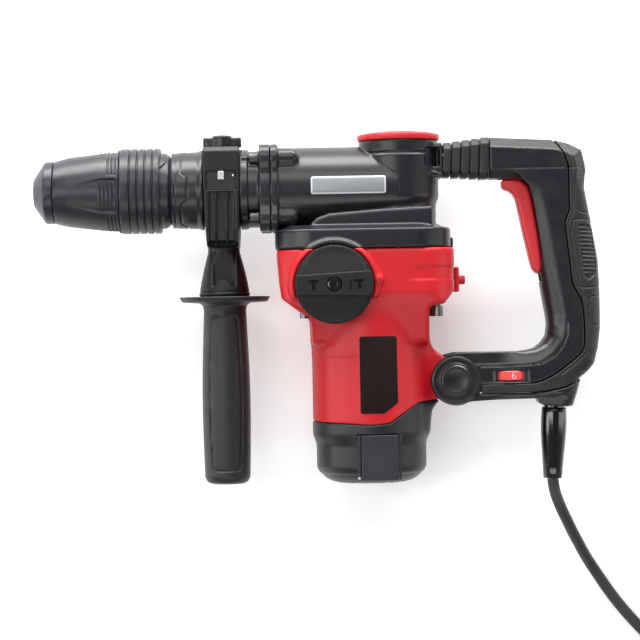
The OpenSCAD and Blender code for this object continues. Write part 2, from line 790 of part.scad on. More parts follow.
module trigger() color("#d63a40") placed() difference() {
    union() {
        plate(TRIGGER_PROFILE, -trigger_w / 2, trigger_w / 2);
        plate([[338, 3], [350, 3], [349, 12], [337, 12]], -6, 6);
    }
    rod_z(trigger_pin_x, trigger_pin_y, -10, 20, 2 + slack);
}

module speed_dial() color("#e0474c") placed() {
    rod_y(dial_x, -140.1, 6.8, dial_r, dial_z);
    rod_y(dial_x, -142, 10.6, 2.5, dial_z);
}

// ---- side handle --------------------------------------------------------------------

module side_clamp() color("#2a2a2c") placed() difference() {
    union() {
        section([[clamp_foot, -16], [-26, -clamp_half_z + 2], [-18, -clamp_half_z],
            [12, -clamp_half_z], [24, -25], [29.7, -14], [29.7, 14], [24, 25],
            [12, clamp_half_z], [-18, clamp_half_z], [-26, clamp_half_z - 2],
            [clamp_foot, 16]], seat_start + 0.1, seat_end - 0.1);
        turned_y(side_x, [[skirt_foot, 0], [skirt_foot, 17.6], [-74, 18.4], [-66, 17],
            [-58, 15.2], [-50, 12.8], [-45, 11.5], [clamp_foot, 11.3], [clamp_foot, 0]]);
    }
    rod_x(110, 50, seat_r + 0.08);
    block([125.2, -1.3, 28.6], [146, 12.3, 40]);
    rod_y(side_x, -80, 54, 4 + slack);
    rod_y(side_x, 27.4, 4, 3.1);
}

module side_grip() color("#343436") placed() {
    turned_y(side_x, [[-76.9, 0], [-76.9, 20], [-76.7, hand_flange_d / 2], [-78.2, 32],
        [-80.4, 30], [-81.3, 18], [-83, 15.9], [-87, 15.2], [-100, 15.8], [-125, 16.9],
        [-145, grip_d / 2], [-165, grip_d / 2], [-190, 16.9], [-207, 16.4], [-210.3, 15],
        [grip_foot, 12], [grip_foot, 0]]);
    rod_y(side_x, -78, 46, 4);
}

module wing_knob() color("#2a2a2c") placed() {
    rod_y(side_x, 30.3, 9, 7.4);
    plan(round_rect([side_x - 13.9, -5], [side_x + 13.9, 5], 3), 30.3, 38);
    rod_y(side_x, 27.6, 3, 3);
}

// ---- cord ---------------------------------------------------------------------------

module cord() color("#2e2e32") swept_bar(CORD_ROUTE, cord_r, 10);

module cord_tail() color("#2e2e32") swept_bar(TAIL_ROUTE, cord_r, 10);

module cord_coil() color("#2e2e32") {
    half = coil_columns / 2 * cord_d;
    translate([coil_x, coil_y, 0]) rotate_extrude()
        polygon(round_rect([coil_mid_r - half, 0], [coil_mid_r + half, coil_layers * cord_d + 0.3],
            3.5, 3));
}

module plug() color("#26262a") translate([plug_x, plug_start, plug_r]) rotate([-90, 0, 0]) {
    rotate_extrude() polygon([[0, 0], [5.2, 0], [7.5, 30], [9, 34], [13, 44],
        [plug_r, 56], [plug_r, 66], [17.5, 68], [17.5, 70], [0, 70]]);
    for (side = [-1, 1]) translate([side * 9.5, 0, 69]) cylinder(h = 20, r = 2.4);
}

gear_housing();
front_barrel();
barrel_screws();
lock_washers();
crank_cap();
motor_housing();
housing_screws();
end_cap();
brush_covers();
rear_stop();
badge();
nameplate();
gear_plate();
spindle_seal();
spindle_bearing();
cylinder_bearing();
shaft_bearings();
armature_bearings();
stator_core();
field_coils();
brush_holders();
carbon_brushes();
pivot_bush();
guide_pin();
tool_holder();
hammer_cylinder();
bevel_ring_gear();
chuck_ring();
locking_balls();
dust_cap();
locking_sleeve();
grip_ring();
sleeve_spring();
beat_piece();
ram();
piston();
connecting_rod();
crankshaft();
layshaft();
armature();
commutator();
mode_knob();
mode_button();
handle_shell_left();
handle_shell_right();
rear_grip_cover();
pivot_caps();
switch_module();
bellows();
handle_spring();
strain_relief();
cord();
cord_tail();
cord_coil();
plug();
trigger();
speed_dial();
side_clamp();
side_grip();
wing_knob();
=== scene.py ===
"""Looks of the rotary hammer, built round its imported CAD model.

Sizes are in tool millimetres: x from the front of the dust cap, y from the barrel's axis, z from the
tool's middle plane, as in the part's own source. spot() turns them into metres of the row frame.
"""

import math

import bmesh
import bpy
import numpy as np
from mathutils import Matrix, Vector


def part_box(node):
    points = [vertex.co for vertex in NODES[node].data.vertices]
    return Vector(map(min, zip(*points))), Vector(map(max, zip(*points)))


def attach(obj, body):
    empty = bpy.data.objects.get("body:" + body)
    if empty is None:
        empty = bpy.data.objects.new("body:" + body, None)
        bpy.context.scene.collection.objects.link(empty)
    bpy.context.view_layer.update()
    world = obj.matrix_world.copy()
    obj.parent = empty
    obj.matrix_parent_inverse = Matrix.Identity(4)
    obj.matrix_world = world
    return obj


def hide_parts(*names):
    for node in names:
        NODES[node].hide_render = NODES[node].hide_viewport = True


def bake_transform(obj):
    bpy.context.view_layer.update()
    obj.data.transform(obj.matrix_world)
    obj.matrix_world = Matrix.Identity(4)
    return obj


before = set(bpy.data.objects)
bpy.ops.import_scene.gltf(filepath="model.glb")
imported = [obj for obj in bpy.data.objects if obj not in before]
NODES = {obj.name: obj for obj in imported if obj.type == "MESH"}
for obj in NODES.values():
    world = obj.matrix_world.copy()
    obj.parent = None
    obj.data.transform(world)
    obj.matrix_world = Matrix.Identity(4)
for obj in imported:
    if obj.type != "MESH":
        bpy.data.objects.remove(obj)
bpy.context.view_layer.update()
MM = 0.001

# ---- the tool's datum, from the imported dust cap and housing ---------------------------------

cap_low, cap_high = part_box("dust_cap")
DATUM = Vector((cap_low.x, (cap_low.y + cap_high.y) / 2, (cap_low.z + cap_high.z) / 2))


def spot(x, y, z=0.0):
    """A point in tool millimetres, as metres of the row frame."""
    return DATUM + Vector((x, y, z)) * MM


# ---- camera ---------------------------------------------------------------------------------

CAMERA_HEIGHT = 1.8
CAMERA_LENS = 140.6
CAMERA_SENSOR = 36.0
CAMERA_ASIDE = (1.7 * MM, -8.9 * MM)
CAMERA_ROLL = math.radians(-1.0)


def make_camera():
    """A long lens straight above the tool, turned by a slight roll."""
    data = bpy.data.cameras.new("camera")
    data.lens, data.sensor_width = CAMERA_LENS, CAMERA_SENSOR
    data.clip_start, data.clip_end = 0.05, 20.0
    camera = bpy.data.objects.new("camera", data)
    bpy.context.scene.collection.objects.link(camera)
    tool_low, tool_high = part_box("dust_cap")[0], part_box("rear_grip_cover")[1]
    middle_x = (tool_low.x + tool_high.x) / 2
    middle_y = (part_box("crank_cap")[1].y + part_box("end_cap")[0].y) / 2
    camera.location = (middle_x + CAMERA_ASIDE[0], middle_y + CAMERA_ASIDE[1], DATUM.z + CAMERA_HEIGHT)
    camera.rotation_euler = (0.0, 0.0, CAMERA_ROLL)
    bpy.context.scene.camera = camera


make_camera()

# ---- materials ------------------------------------------------------------------------------


def set_input(node, name, value):
    """Sets the value of a node's unlinked input."""
    node.inputs[name].default_value = value


class Recipe:
    """A procedural material under construction: a Principled shader and what feeds it."""

    def __init__(self, name, color, roughness, metallic=0.0, coat=0.0, specular=0.5):
        self.material = bpy.data.materials.new(name)
        self.material.use_nodes = True
        self.tree = self.material.node_tree
        self.shader = self.tree.nodes["Principled BSDF"]
        set_input(self.shader, "Base Color", (*color, 1.0))
        set_input(self.shader, "Roughness", roughness)
        set_input(self.shader, "Metallic", metallic)
        set_input(self.shader, "Specular IOR Level", specular)
        set_input(self.shader, "Coat Weight", coat)
        set_input(self.shader, "Coat Roughness", 0.12)
        self.color, self.roughness = color, roughness
        self.place = self.add("ShaderNodeTexCoord").outputs["Object"]
        self.height = None

    def add(self, kind, **inputs):
        """A new node, with the values of its inputs."""
        node = self.tree.nodes.new(kind)
        for key, value in inputs.items():
            node.inputs[key.replace("_", " ")].default_value = value
        return node

    def link(self, source, target):
        """Joins an output to an input."""
        self.tree.links.new(source, target)

    def noise(self, scale, detail=2.0, rough=0.5):
        """Noise whose scale is in grains per metre."""
        node = self.add("ShaderNodeTexNoise", Scale=scale, Detail=detail, Roughness=rough)
        self.link(self.place, node.inputs["Vector"])
        return node.outputs["Fac"]

    def cells(self, scale):
        """Distance from the nearest of scattered points, scale of them per metre."""
        node = self.add("ShaderNodeTexVoronoi", Scale=scale)
        self.link(self.place, node.inputs["Vector"])
        return node.outputs["Distance"]

    def ramp(self, source, low, high, out_low, out_high):
        """A value that goes from out_low to out_high as source goes from low to high."""
        node = self.add("ShaderNodeMapRange")
        values = {"From Min": low, "From Max": high, "To Min": out_low, "To Max": out_high}
        for key, value in values.items():
            set_input(node, key, value)
        self.link(source, node.inputs["Value"])
        return node.outputs["Result"]

    def vary_roughness(self, source, spread):
        """Roughness that goes up and down by spread with source."""
        result = self.ramp(source, 0.3, 0.7, self.roughness - spread, self.roughness + spread)
        self.link(result, self.shader.inputs["Roughness"])

    def vary_color(self, source, other, low=0.35, high=0.7):
        """Colour that goes from the recipe's own to other as source goes from low to high."""
        mix = self.tree.nodes.new("ShaderNodeMix")
        mix.data_type = "RGBA"
        set_input(mix, 6, (*self.color, 1.0))
        set_input(mix, 7, (*other, 1.0))
        self.link(self.ramp(source, low, high, 0.0, 1.0), mix.inputs[0])
        self.link(mix.outputs[2], self.shader.inputs["Base Color"])

    def bump(self, source, distance, strength=1.0):
        """A bump distance metres high, laid over any bump made before."""
        node = self.add("ShaderNodeBump", Strength=strength, Distance=distance)
        self.link(source, node.inputs["Height"])
        if self.height is not None:
            self.link(self.height, node.inputs["Normal"])
        self.height = node.outputs["Normal"]
        self.link(self.height, self.shader.inputs["Normal"])
        return self

    def edges(self, other, low=0.52, high=0.62):
        """Edges that are rubbed towards another colour, from the surface's own pointiness."""
        geometry = self.tree.nodes.new("ShaderNodeNewGeometry")
        self.vary_color(geometry.outputs["Pointiness"], other, low, high)
        return self


def painted_cast(name, color, roughness):
    """Satin paint on die-cast metal: orange peel and a faint cast unevenness."""
    r = Recipe(name, color, roughness, coat=0.06, specular=0.42)
    r.vary_roughness(r.noise(900, 3), 0.05)
    r.bump(r.noise(1400, 2), 0.00005, 0.3)
    r.bump(r.noise(90, 2), 0.0003, 0.2)
    r.edges(tuple(c * 1.8 + 0.004 for c in color))
    return r.material


def moulded_plastic(name, color, roughness, grain=2600, depth=0.00006, specular=0.5):
    """Textured nylon: spark-eroded grain and a slightly uneven gloss."""
    r = Recipe(name, color, roughness, specular=specular)
    r.vary_roughness(r.noise(60, 3), 0.05)
    r.bump(r.cells(grain), depth, 0.45)
    r.bump(r.noise(70, 2), 0.0003, 0.2)
    r.edges(tuple(c * 1.8 + 0.004 for c in color))
    return r.material


def glossy_plastic(name, color, roughness, other=None, coat=0.5, specular=0.5):
    """Smooth moulded plastic: faint sinks in the surface, fine scuffs in the gloss."""
    r = Recipe(name, color, roughness, coat=coat, specular=specular)
    r.vary_roughness(r.noise(500, 4, 0.6), 0.06)
    r.bump(r.noise(55, 1), 0.0005, 0.2)
    r.bump(r.noise(2200, 2), 0.00005, 0.25)
    r.edges(other or tuple(min(1.0, c * 1.25 + 0.01) for c in color))
    return r.material


def soft_rubber(name, color, roughness, grain=3200, depth=0.00007):
    """Matt elastomer: fine grain, a dusty sheen and soft mottling."""
    r = Recipe(name, color, roughness, specular=0.42)
    set_input(r.shader, "Sheen Weight", 0.02)
    set_input(r.shader, "Sheen Roughness", 0.5)
    r.vary_roughness(r.noise(140, 4), 0.07)
    r.edges(tuple(c * 2.2 + 0.008 for c in color))
    r.bump(r.cells(grain), depth, 0.5)
    return r.material


def printed_ink(name, color):
    """Flat printed colour, a little uneven."""
    r = Recipe(name, color, 0.8, specular=0.12)
    r.vary_roughness(r.noise(300, 3), 0.08)
    r.vary_color(r.noise(900, 2), tuple(c * 1.3 for c in color))
    r.bump(r.noise(3000, 2), 0.00002, 0.2)
    return r.material


def turned_metal(name, color, roughness, axis=0, lines=5200):
    """Machined metal: fine turning lines along one axis, with a little staining."""
    r = Recipe(name, color, roughness, metallic=1.0)
    wave = r.add("ShaderNodeTexWave", Scale=lines / 6.283, Distortion=1.5, Detail=2.0)
    wave.bands_direction = "XYZ"[axis]
    r.link(r.place, wave.inputs["Vector"])
    r.bump(wave.outputs["Fac"], 0.00003, 0.35)
    r.vary_roughness(r.noise(180, 4), 0.1)
    r.vary_color(r.noise(60, 3), tuple(c * 0.72 for c in color))
    return r.material


def copper_wire(name):
    """Enamelled winding wire, side by side."""
    r = Recipe(name, (0.55, 0.21, 0.07), 0.32, metallic=0.85, coat=0.6)
    wave = r.add("ShaderNodeTexWave", Scale=190.0, Distortion=0.6)
    wave.bands_direction = "Y"
    r.link(r.place, wave.inputs["Vector"])
    r.bump(wave.outputs["Fac"], 0.0006, 0.8)
    r.vary_color(r.noise(400, 2), (0.32, 0.1, 0.03))
    return r.material


BLACK_PAINT = painted_cast("cast_black_paint", (0.0078, 0.008, 0.0108), 0.33)
RED = glossy_plastic("red_nylon", (0.46, 0.0055, 0.0105), 0.44, coat=0.05, specular=0.36)
TRIGGER_RED = glossy_plastic("trigger_red", (0.50, 0.016, 0.022), 0.46, coat=0.1)
DIAL_RED = glossy_plastic("dial_red", (0.62, 0.045, 0.045), 0.4, coat=0.1)
BLACK_NYLON = moulded_plastic("black_nylon", (0.0082, 0.0084, 0.0108), 0.3)
CLAMP_BLACK = moulded_plastic("clamp_nylon", (0.0042, 0.0042, 0.0052), 0.42, specular=0.34)
END_CAP_BLACK = moulded_plastic("end_cap_nylon", (0.0095, 0.0097, 0.0125), 0.38, 2200, specular=0.42)
KNOB_GREY = moulded_plastic("knob_nylon", (0.0125, 0.0132, 0.0128), 0.55, 2400, specular=0.16)
RUBBER = soft_rubber("grip_rubber", (0.0105, 0.0105, 0.0122), 0.44)
CHUCK_RUBBER = soft_rubber("chuck_rubber", (0.0100, 0.0104, 0.0142), 0.34, 4200, 0.00003)
CAP_RUBBER = soft_rubber("cap_rubber", (0.0120, 0.0138, 0.0205), 0.32, 5200, 0.00003)
CORD_RUBBER = soft_rubber("cord_rubber", (0.021, 0.021, 0.024), 0.48, 2600)
GLOSS_BLACK = glossy_plastic("gloss_black", (0.004, 0.004, 0.005), 0.14, (0.008, 0.008, 0.009))
LABEL = printed_ink("label_foil", (0.0105, 0.0062, 0.0056))
BADGE = glossy_plastic("badge_foil", (0.46, 0.48, 0.50), 0.35, (0.55, 0.56, 0.58), coat=0.1)
FIGURE_WHITE = glossy_plastic("figure_white", (0.60, 0.58, 0.58), 0.5, (0.62, 0.6, 0.6), coat=0.0)
BADGE_FACE = glossy_plastic("badge_face", (0.19, 0.20, 0.215), 0.38, (0.22, 0.23, 0.24), coat=0.1)
BAND_PAINT = painted_cast("band_paint", (0.006, 0.006, 0.007), 0.42)
MARK_GREY = printed_ink("mark_ink", (0.002, 0.002, 0.002))
SCREW_STEEL = turned_metal("screw_steel", (0.20, 0.20, 0.205), 0.34, 1, 9000)
STEEL_X = turned_metal("ground_steel_x", (0.50, 0.50, 0.52), 0.3, 0)
STEEL_Y = turned_metal("ground_steel_y", (0.50, 0.50, 0.52), 0.3, 1)
ZINC = turned_metal("zinc_plate", (0.70, 0.69, 0.66), 0.28, 0, 9000)
BLACK_STEEL = turned_metal("black_oxide", (0.10, 0.10, 0.105), 0.4, 0, 9000)
ALUMINIUM = turned_metal("machined_aluminium", (0.72, 0.73, 0.75), 0.34, 1, 3000)
LAMINATIONS = turned_metal("laminations", (0.24, 0.24, 0.26), 0.45, 1, 12000)
BRASS = turned_metal("pressed_brass", (0.62, 0.42, 0.16), 0.34, 1)
COPPER_BARS = turned_metal("commutator_copper", (0.66, 0.31, 0.17), 0.3, 1, 2600)
COPPER = copper_wire("winding_copper")
CARBON = moulded_plastic("carbon", (0.03, 0.03, 0.032), 0.6, 5000)
SWITCH_NYLON = moulded_plastic("switch_nylon", (0.02, 0.02, 0.024), 0.5)

CAD_LOOKS = {
    STEEL_X: ["tool_holder", "hammer_cylinder", "bevel_ring_gear", "beat_piece", "ram",
              "connecting_rod", "spindle_bearing", "cylinder_bearing", "guide_pin"],
    STEEL_Y: ["crankshaft", "layshaft", "shaft_bearings", "armature_bearings"],
    SCREW_STEEL: ["housing_screws"],
    ZINC: ["lock_washers", "locking_balls", "handle_spring", "sleeve_spring"],
    BLACK_STEEL: ["barrel_screws"],
    LAMINATIONS: ["stator_core", "armature"],
    ALUMINIUM: ["piston", "gear_plate"],
    COPPER: ["field_coils"],
    COPPER_BARS: ["commutator"],
    BRASS: ["brush_holders"],
    CARBON: ["carbon_brushes"],
    SWITCH_NYLON: ["switch_module"],
    RUBBER: ["pivot_bush", "spindle_seal", "rear_grip_cover", "bellows", "side_grip"],
    BLACK_PAINT: ["gear_housing", "front_barrel"],
    RED: ["motor_housing", "crank_cap", "rear_stop"],
    TRIGGER_RED: ["trigger"],
    DIAL_RED: ["speed_dial"],
    END_CAP_BLACK: ["end_cap", "brush_covers"],
    BLACK_NYLON: ["handle_shell_left", "handle_shell_right", "pivot_caps", "wing_knob"],
    CLAMP_BLACK: ["side_clamp"],
    KNOB_GREY: ["mode_knob"],
    GLOSS_BLACK: ["mode_button", "strain_relief"],
    LABEL: ["nameplate"],
    BADGE: ["badge"],
    CHUCK_RUBBER: ["chuck_ring", "locking_sleeve", "grip_ring"],
    CAP_RUBBER: ["dust_cap"],
    CORD_RUBBER: ["cord", "cord_tail", "cord_coil", "plug"],
}


def dress_cad_nodes():
    """Every CAD node gets its material, and smooth shading up to its real edges."""
    for material, names in CAD_LOOKS.items():
        for name in names:
            mesh = NODES[name].data
            mesh.materials.clear()
            mesh.materials.append(material)
            mesh.polygons.foreach_set("use_smooth", [True] * len(mesh.polygons))
            mesh.set_sharp_from_angle(angle=math.radians(32))


dress_cad_nodes()

# ---- making pieces --------------------------------------------------------------------------


def new_piece(name, mesh, material, body, *replaced):
    """A mesh as a shown piece on a CAD body, standing for the CAD nodes named."""
    piece = bpy.data.objects.new(name, mesh)
    bpy.context.scene.collection.objects.link(piece)
    if material is not None:
        mesh.materials.append(material)
    if body is not None:
        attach(piece, body)
    if replaced:
        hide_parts(*replaced)
    return piece


def tidy_mesh(mesh, sharp=35.0):
    """Shades a mesh smooth, apart from edges sharper than sharp degrees."""
    mesh.polygons.foreach_set("use_smooth", [True] * len(mesh.polygons))
    mesh.set_sharp_from_angle(angle=math.radians(sharp))
    mesh.update()
    return mesh


def filleted(points, radius, steps=4):
    """An outline with each corner rounded by an arc, as far as its sides leave room."""
    result = []
    n = len(points)
    for i in range(n):
        before, corner, after = (np.array(points[(i + k) % n], float) for k in (-1, 0, 1))
        own = corner[2] if len(corner) > 2 else radius
        before, corner, after = before[:2], corner[:2], after[:2]
        a, b = before - corner, after - corner
        la, lb = np.linalg.norm(a), np.linalg.norm(b)
        if own <= 0 or la < 1e-6 or lb < 1e-6:
            result.append(tuple(corner))
            continue
        a, b = a / la, b / lb
        half = math.acos(max(-1.0, min(1.0, float(a @ b)))) / 2
        reach = min(own / max(math.tan(half), 1e-6), 0.46 * la, 0.46 * lb)
        if reach < 1e-3 or half > math.radians(87):
            result.append(tuple(corner))
            continue
        r = reach * math.tan(half)
        centre = corner + (a + b) / np.linalg.norm(a + b) * (r / math.sin(half))
        start, end = corner + a * reach - centre, corner + b * reach - centre
        sweep = math.atan2(start[0] * end[1] - start[1] * end[0], start @ end)
        for k in range(steps + 1):
            turn = sweep * k / steps
            c, s = math.cos(turn), math.sin(turn)
            result.append((centre[0] + c * start[0] - s * start[1],
                           centre[1] + s * start[0] + c * start[1]))
    return result


def outline(points, u, v):
    """Signed distance from a closed outline at u and v, negative inside."""
    u, v = np.broadcast_arrays(u, v)
    best = np.full(u.shape, 1e12)
    inside = np.zeros(u.shape, bool)
    for (ax, ay), (bx, by) in zip(points, list(points[1:]) + [points[0]]):
        ex, ey = bx - ax, by - ay
        wx, wy = u - ax, v - ay
        t = np.clip((wx * ex + wy * ey) / max(ex * ex + ey * ey, 1e-12), 0, 1)
        best = np.minimum(best, (wx - t * ex) ** 2 + (wy - t * ey) ** 2)
        if abs(ey) > 1e-12:
            inside ^= ((ay > v) != (by > v)) & (u < ax + ex * (v - ay) / ey)
    return np.where(inside, -1.0, 1.0) * np.sqrt(best)


def slab(flat, across, low, high, edge=0.0):
    """An outline's distance made into a slab from low to high, its edges rounded."""
    a = flat + edge
    b = abs(across - (low + high) / 2) - (high - low) / 2 + edge
    return np.minimum(np.maximum(a, b), 0) + np.hypot(np.maximum(a, 0), np.maximum(b, 0)) - edge


def join(a, b, blend=0.0):
    """The union of two shapes, with a fillet between them."""
    if blend <= 0:
        return np.minimum(a, b)
    h = np.clip(0.5 + 0.5 * (b - a) / blend, 0, 1)
    return b + h * (a - b) - blend * h * (1 - h)


def cut(a, b, blend=0.0):
    """Shape a without shape b, with the rim rounded."""
    return -join(-a, b, blend)


def common(a, b, blend=0.0):
    """The space inside both a and b, rounded where they meet if blend is above 0."""
    return -join(-a, -b, blend)


class Block:
    """A grid of points round a piece, in tool millimetres."""

    def __init__(self, low, high, step):
        self.low, self.step = np.array(low, float), float(step)
        counts = [int(math.ceil((h - l) / step)) + 1 for l, h in zip(low, high)]
        lines = [l + step * np.arange(n) for l, n in zip(low, counts)]
        self.x, self.y, self.z = np.ix_(*lines)
        self.shape = tuple(counts)

    def turned(self, points, axis, centre=(0.0, 0.0)):
        """Distance from a solid turned about a line along axis; points are (along, radius)."""
        along = (self.x, self.y, self.z)[axis].ravel()
        others = [c for i, c in enumerate((self.x, self.y, self.z)) if i != axis]
        radius = np.hypot(others[0] - centre[0], others[1] - centre[1])
        flat = np.squeeze(radius, axis)
        reach = np.arange(0.0, float(flat.max()) + 1.0, 0.2)
        half = [(a, r if r > 0 else -40.0) for a, r in points]
        table = outline(half, along[:, None], reach[None, :])
        rows = [np.interp(flat.ravel(), reach, row).reshape(flat.shape) for row in table]
        return np.moveaxis(np.stack(rows), 0, axis)


def surface_net(values, low, step):
    """Vertices and quads of the surface where values cross 0, negative inside."""
    values = np.pad(values.astype(np.float32), 1, constant_values=1e3)
    low = np.array(low, float) - step
    inside = values < 0
    size = np.array(values.shape) - 1
    count = np.zeros(size, np.int8)
    for i in (0, 1):
        for j in (0, 1):
            for k in (0, 1):
                count += inside[i:size[0] + i, j:size[1] + j, k:size[2] + k]
    mixed = (count > 0) & (count < 8)
    cells = np.argwhere(mixed)
    index = np.full(size, -1, np.int64)
    index[mixed] = np.arange(len(cells))
    total, hits = np.zeros((len(cells), 3)), np.zeros(len(cells))
    for axis in range(3):
        unit = np.eye(3, dtype=int)[axis]
        b, c = [np.eye(3, dtype=int)[k] for k in range(3) if k != axis]
        for corner in (0 * b, b, c, b + c):
            p = cells + corner
            q = p + unit
            vp, vq = values[tuple(p.T)], values[tuple(q.T)]
            crossing = (vp < 0) != (vq < 0)
            t = np.clip(vp[crossing] / (vp[crossing] - vq[crossing]), 0.02, 0.98)
            total[crossing] += p[crossing] + t[:, None] * unit
            hits[crossing] += 1
    vertices = low + step * (total / np.maximum(hits, 1)[:, None])
    quads = []
    for axis in range(3):
        b, c = [k for k in range(3) if k != axis]
        first = np.take(inside, range(0, values.shape[axis] - 1), axis)
        second = np.take(inside, range(1, values.shape[axis]), axis)
        edge = np.argwhere(first != second)
        edge = edge[(edge[:, b] > 0) & (edge[:, c] > 0)]
        edge = edge[(edge[:, b] < size[b]) & (edge[:, c] < size[c])]
        step_b, step_c = np.eye(3, dtype=int)[b], np.eye(3, dtype=int)[c]
        ring = [index[tuple((edge - s).T)] for s in (step_b + step_c, step_c, 0 * step_b, step_b)]
        quad = np.stack(ring, 1)
        outward = first[tuple(edge.T)] == (axis != 1)
        quad[~outward] = quad[~outward][:, ::-1]
        quads.append(quad)
    return vertices, np.concatenate(quads)


def grown(name, block, values, material, body, *replaced, keep=1.0, pull=2):
    """A piece whose surface is where values, distances in a block, are 0."""
    values = np.broadcast_to(values, block.shape)
    vertices, quads = surface_net(values, block.low, block.step)
    vertices = settle(vertices, values, block, pull)
    points = np.array(DATUM) + vertices * MM
    mesh = bpy.data.meshes.new(name)
    mesh.vertices.add(len(points))
    mesh.vertices.foreach_set("co", points.astype(np.float32).ravel())
    mesh.loops.add(quads.size)
    mesh.loops.foreach_set("vertex_index", quads.astype(np.int32).ravel())
    mesh.polygons.add(len(quads))
    mesh.polygons.foreach_set("loop_start", np.arange(0, quads.size, 4, dtype=np.int32))
    mesh.update(calc_edges=True)
    mesh.polygons.foreach_set("use_smooth", [True] * len(mesh.polygons))
    piece = new_piece(name, mesh, material, body, *replaced)
    if keep < 1.0:
        thin_out(piece, keep)
    return piece


def settle(vertices, values, block, rounds):
    """Moves vertices along the distance's slope onto the surface itself."""
    size = np.array(values.shape) - 2
    for _ in range(rounds):
        place = (vertices - block.low) / block.step
        base = np.clip(np.floor(place).astype(int), 0, size)
        f = place - base
        corner = {}
        for i in (0, 1):
            for j in (0, 1):
                for k in (0, 1):
                    corner[i, j, k] = values[base[:, 0] + i, base[:, 1] + j, base[:, 2] + k]

        def mix(axis_values, t):
            return axis_values[0] * (1 - t) + axis_values[1] * t

        def along(axis):
            a, b = [k for k in range(3) if k != axis]
            total = 0.0
            for p in (0, 1):
                for q in (0, 1):
                    key = [0, 0, 0]
                    key[a], key[b] = p, q
                    low_value = corner[tuple(key)]
                    key[axis] = 1
                    weight = (f[:, a] if p else 1 - f[:, a]) * (f[:, b] if q else 1 - f[:, b])
                    total = total + weight * (corner[tuple(key)] - low_value)
            return total / block.step

        slope = np.stack([along(axis) for axis in range(3)], 1)
        here = mix([mix([mix([corner[i, j, k] for k in (0, 1)], f[:, 2]) for j in (0, 1)], f[:, 1])
                    for i in (0, 1)], f[:, 0])
        square = np.maximum((slope ** 2).sum(1), 0.25)
        move = -(here / square)[:, None] * slope
        vertices = vertices + np.clip(move, -0.3 * block.step, 0.3 * block.step)
    return vertices


def thin_out(piece, keep):
    """Merges the small faces of flat and gently curved stretches."""
    modifier = piece.modifiers.new("thin", "DECIMATE")
    modifier.ratio = keep
    bpy.context.view_layer.update()
    evaluated = piece.evaluated_get(bpy.context.evaluated_depsgraph_get())
    mesh = bpy.data.meshes.new_from_object(evaluated)
    piece.modifiers.clear()
    old = piece.data
    piece.data = mesh
    bpy.data.meshes.remove(old)
    mesh.polygons.foreach_set("use_smooth", [True] * len(mesh.polygons))
    weighted = piece.modifiers.new("normals", "WEIGHTED_NORMAL")
    weighted.weight = 60


def lathe(name, points, axis, centre, material, body, *replaced, segments=96, sharp=35.0):
    """A turned piece: points are (along, radius), about a line along axis through centre (mm)."""
    mesh = bpy.data.meshes.new(name)
    bm = bmesh.new()
    a, b = [k for k in range(3) if k != axis]
    rings = []
    for along, radius in points:
        ring = []
        for i in range(segments if radius > 1e-6 else 1):
            angle = 2 * math.pi * i / segments
            p = [0.0, 0.0, 0.0]
            p[axis] = along
            p[a] = centre[0] + radius * math.cos(angle)
            p[b] = centre[1] + radius * math.sin(angle)
            ring.append(bm.verts.new(spot(*p)))
        rings.append(ring)
    closed = points[0][1] > 1e-6 and points[-1][1] > 1e-6
    pairs = list(zip(rings, rings[1:])) + ([(rings[-1], rings[0])] if closed else [])
    for first, second in pairs:
        for i in range(segments):
            j = (i + 1) % segments
            corners = [first[i % len(first)], first[j % len(first)],
                       second[j % len(second)], second[i % len(second)]]
            unique = list(dict.fromkeys(corners))
            if len(unique) > 2:
                bm.faces.new(unique)
    bmesh.ops.recalc_face_normals(bm, faces=bm.faces)
    bm.to_mesh(mesh)
    bm.free()
    return new_piece(name, tidy_mesh(mesh, sharp), material, body, *replaced)


def prism(name, points, low, high, plane, material, body, *replaced, bevel=0.4, segments=3):
    """An outline raised from low to high; plane names its two axes, such as "xy"."""
    mesh = bpy.data.meshes.new(name)
    bm = bmesh.new()
    first, second = ("xyz".index(c) for c in plane)
    third = 3 - first - second

    def corner(point, height):
        p = [0.0, 0.0, 0.0]
        p[first], p[second], p[third] = point[0], point[1], height
        return bm.verts.new(spot(*p))

    bottom = [corner(p, low) for p in points]
    top = [corner(p, high) for p in points]
    bm.faces.new(bottom)
    bm.faces.new(top)
    for i in range(len(points)):
        j = (i + 1) % len(points)
        bm.faces.new((bottom[i], bottom[j], top[j], top[i]))
    bmesh.ops.recalc_face_normals(bm, faces=bm.faces)
    bm.to_mesh(mesh)
    bm.free()
    piece = new_piece(name, tidy_mesh(mesh, 40), material, body, *replaced)
    if bevel > 0:
        modifier = piece.modifiers.new("bevel", "BEVEL")
        modifier.width, modifier.segments = bevel * MM, segments
        modifier.limit_method, modifier.angle_limit = "ANGLE", math.radians(35)
        modifier.harden_normals = True
    return piece


def box_outline(low, high, radius=0.0):
    """A rectangle's outline, with round corners if radius is above 0."""
    corners = [(low[0], low[1]), (high[0], low[1]), (high[0], high[1]), (low[0], high[1])]
    return filleted(corners, radius) if radius > 0 else corners


# ---- cord, coil and plug --------------------------------------------------------------------

CORD_D = 8.2
COLUMNS, LAYERS = 2, 4
COIL_MID_R = 48.5
LAST_TURN_END = 7 * 360 + 90
SHIFT = 36.0
LEAD = 14.0
COIL_STEP = 15.0
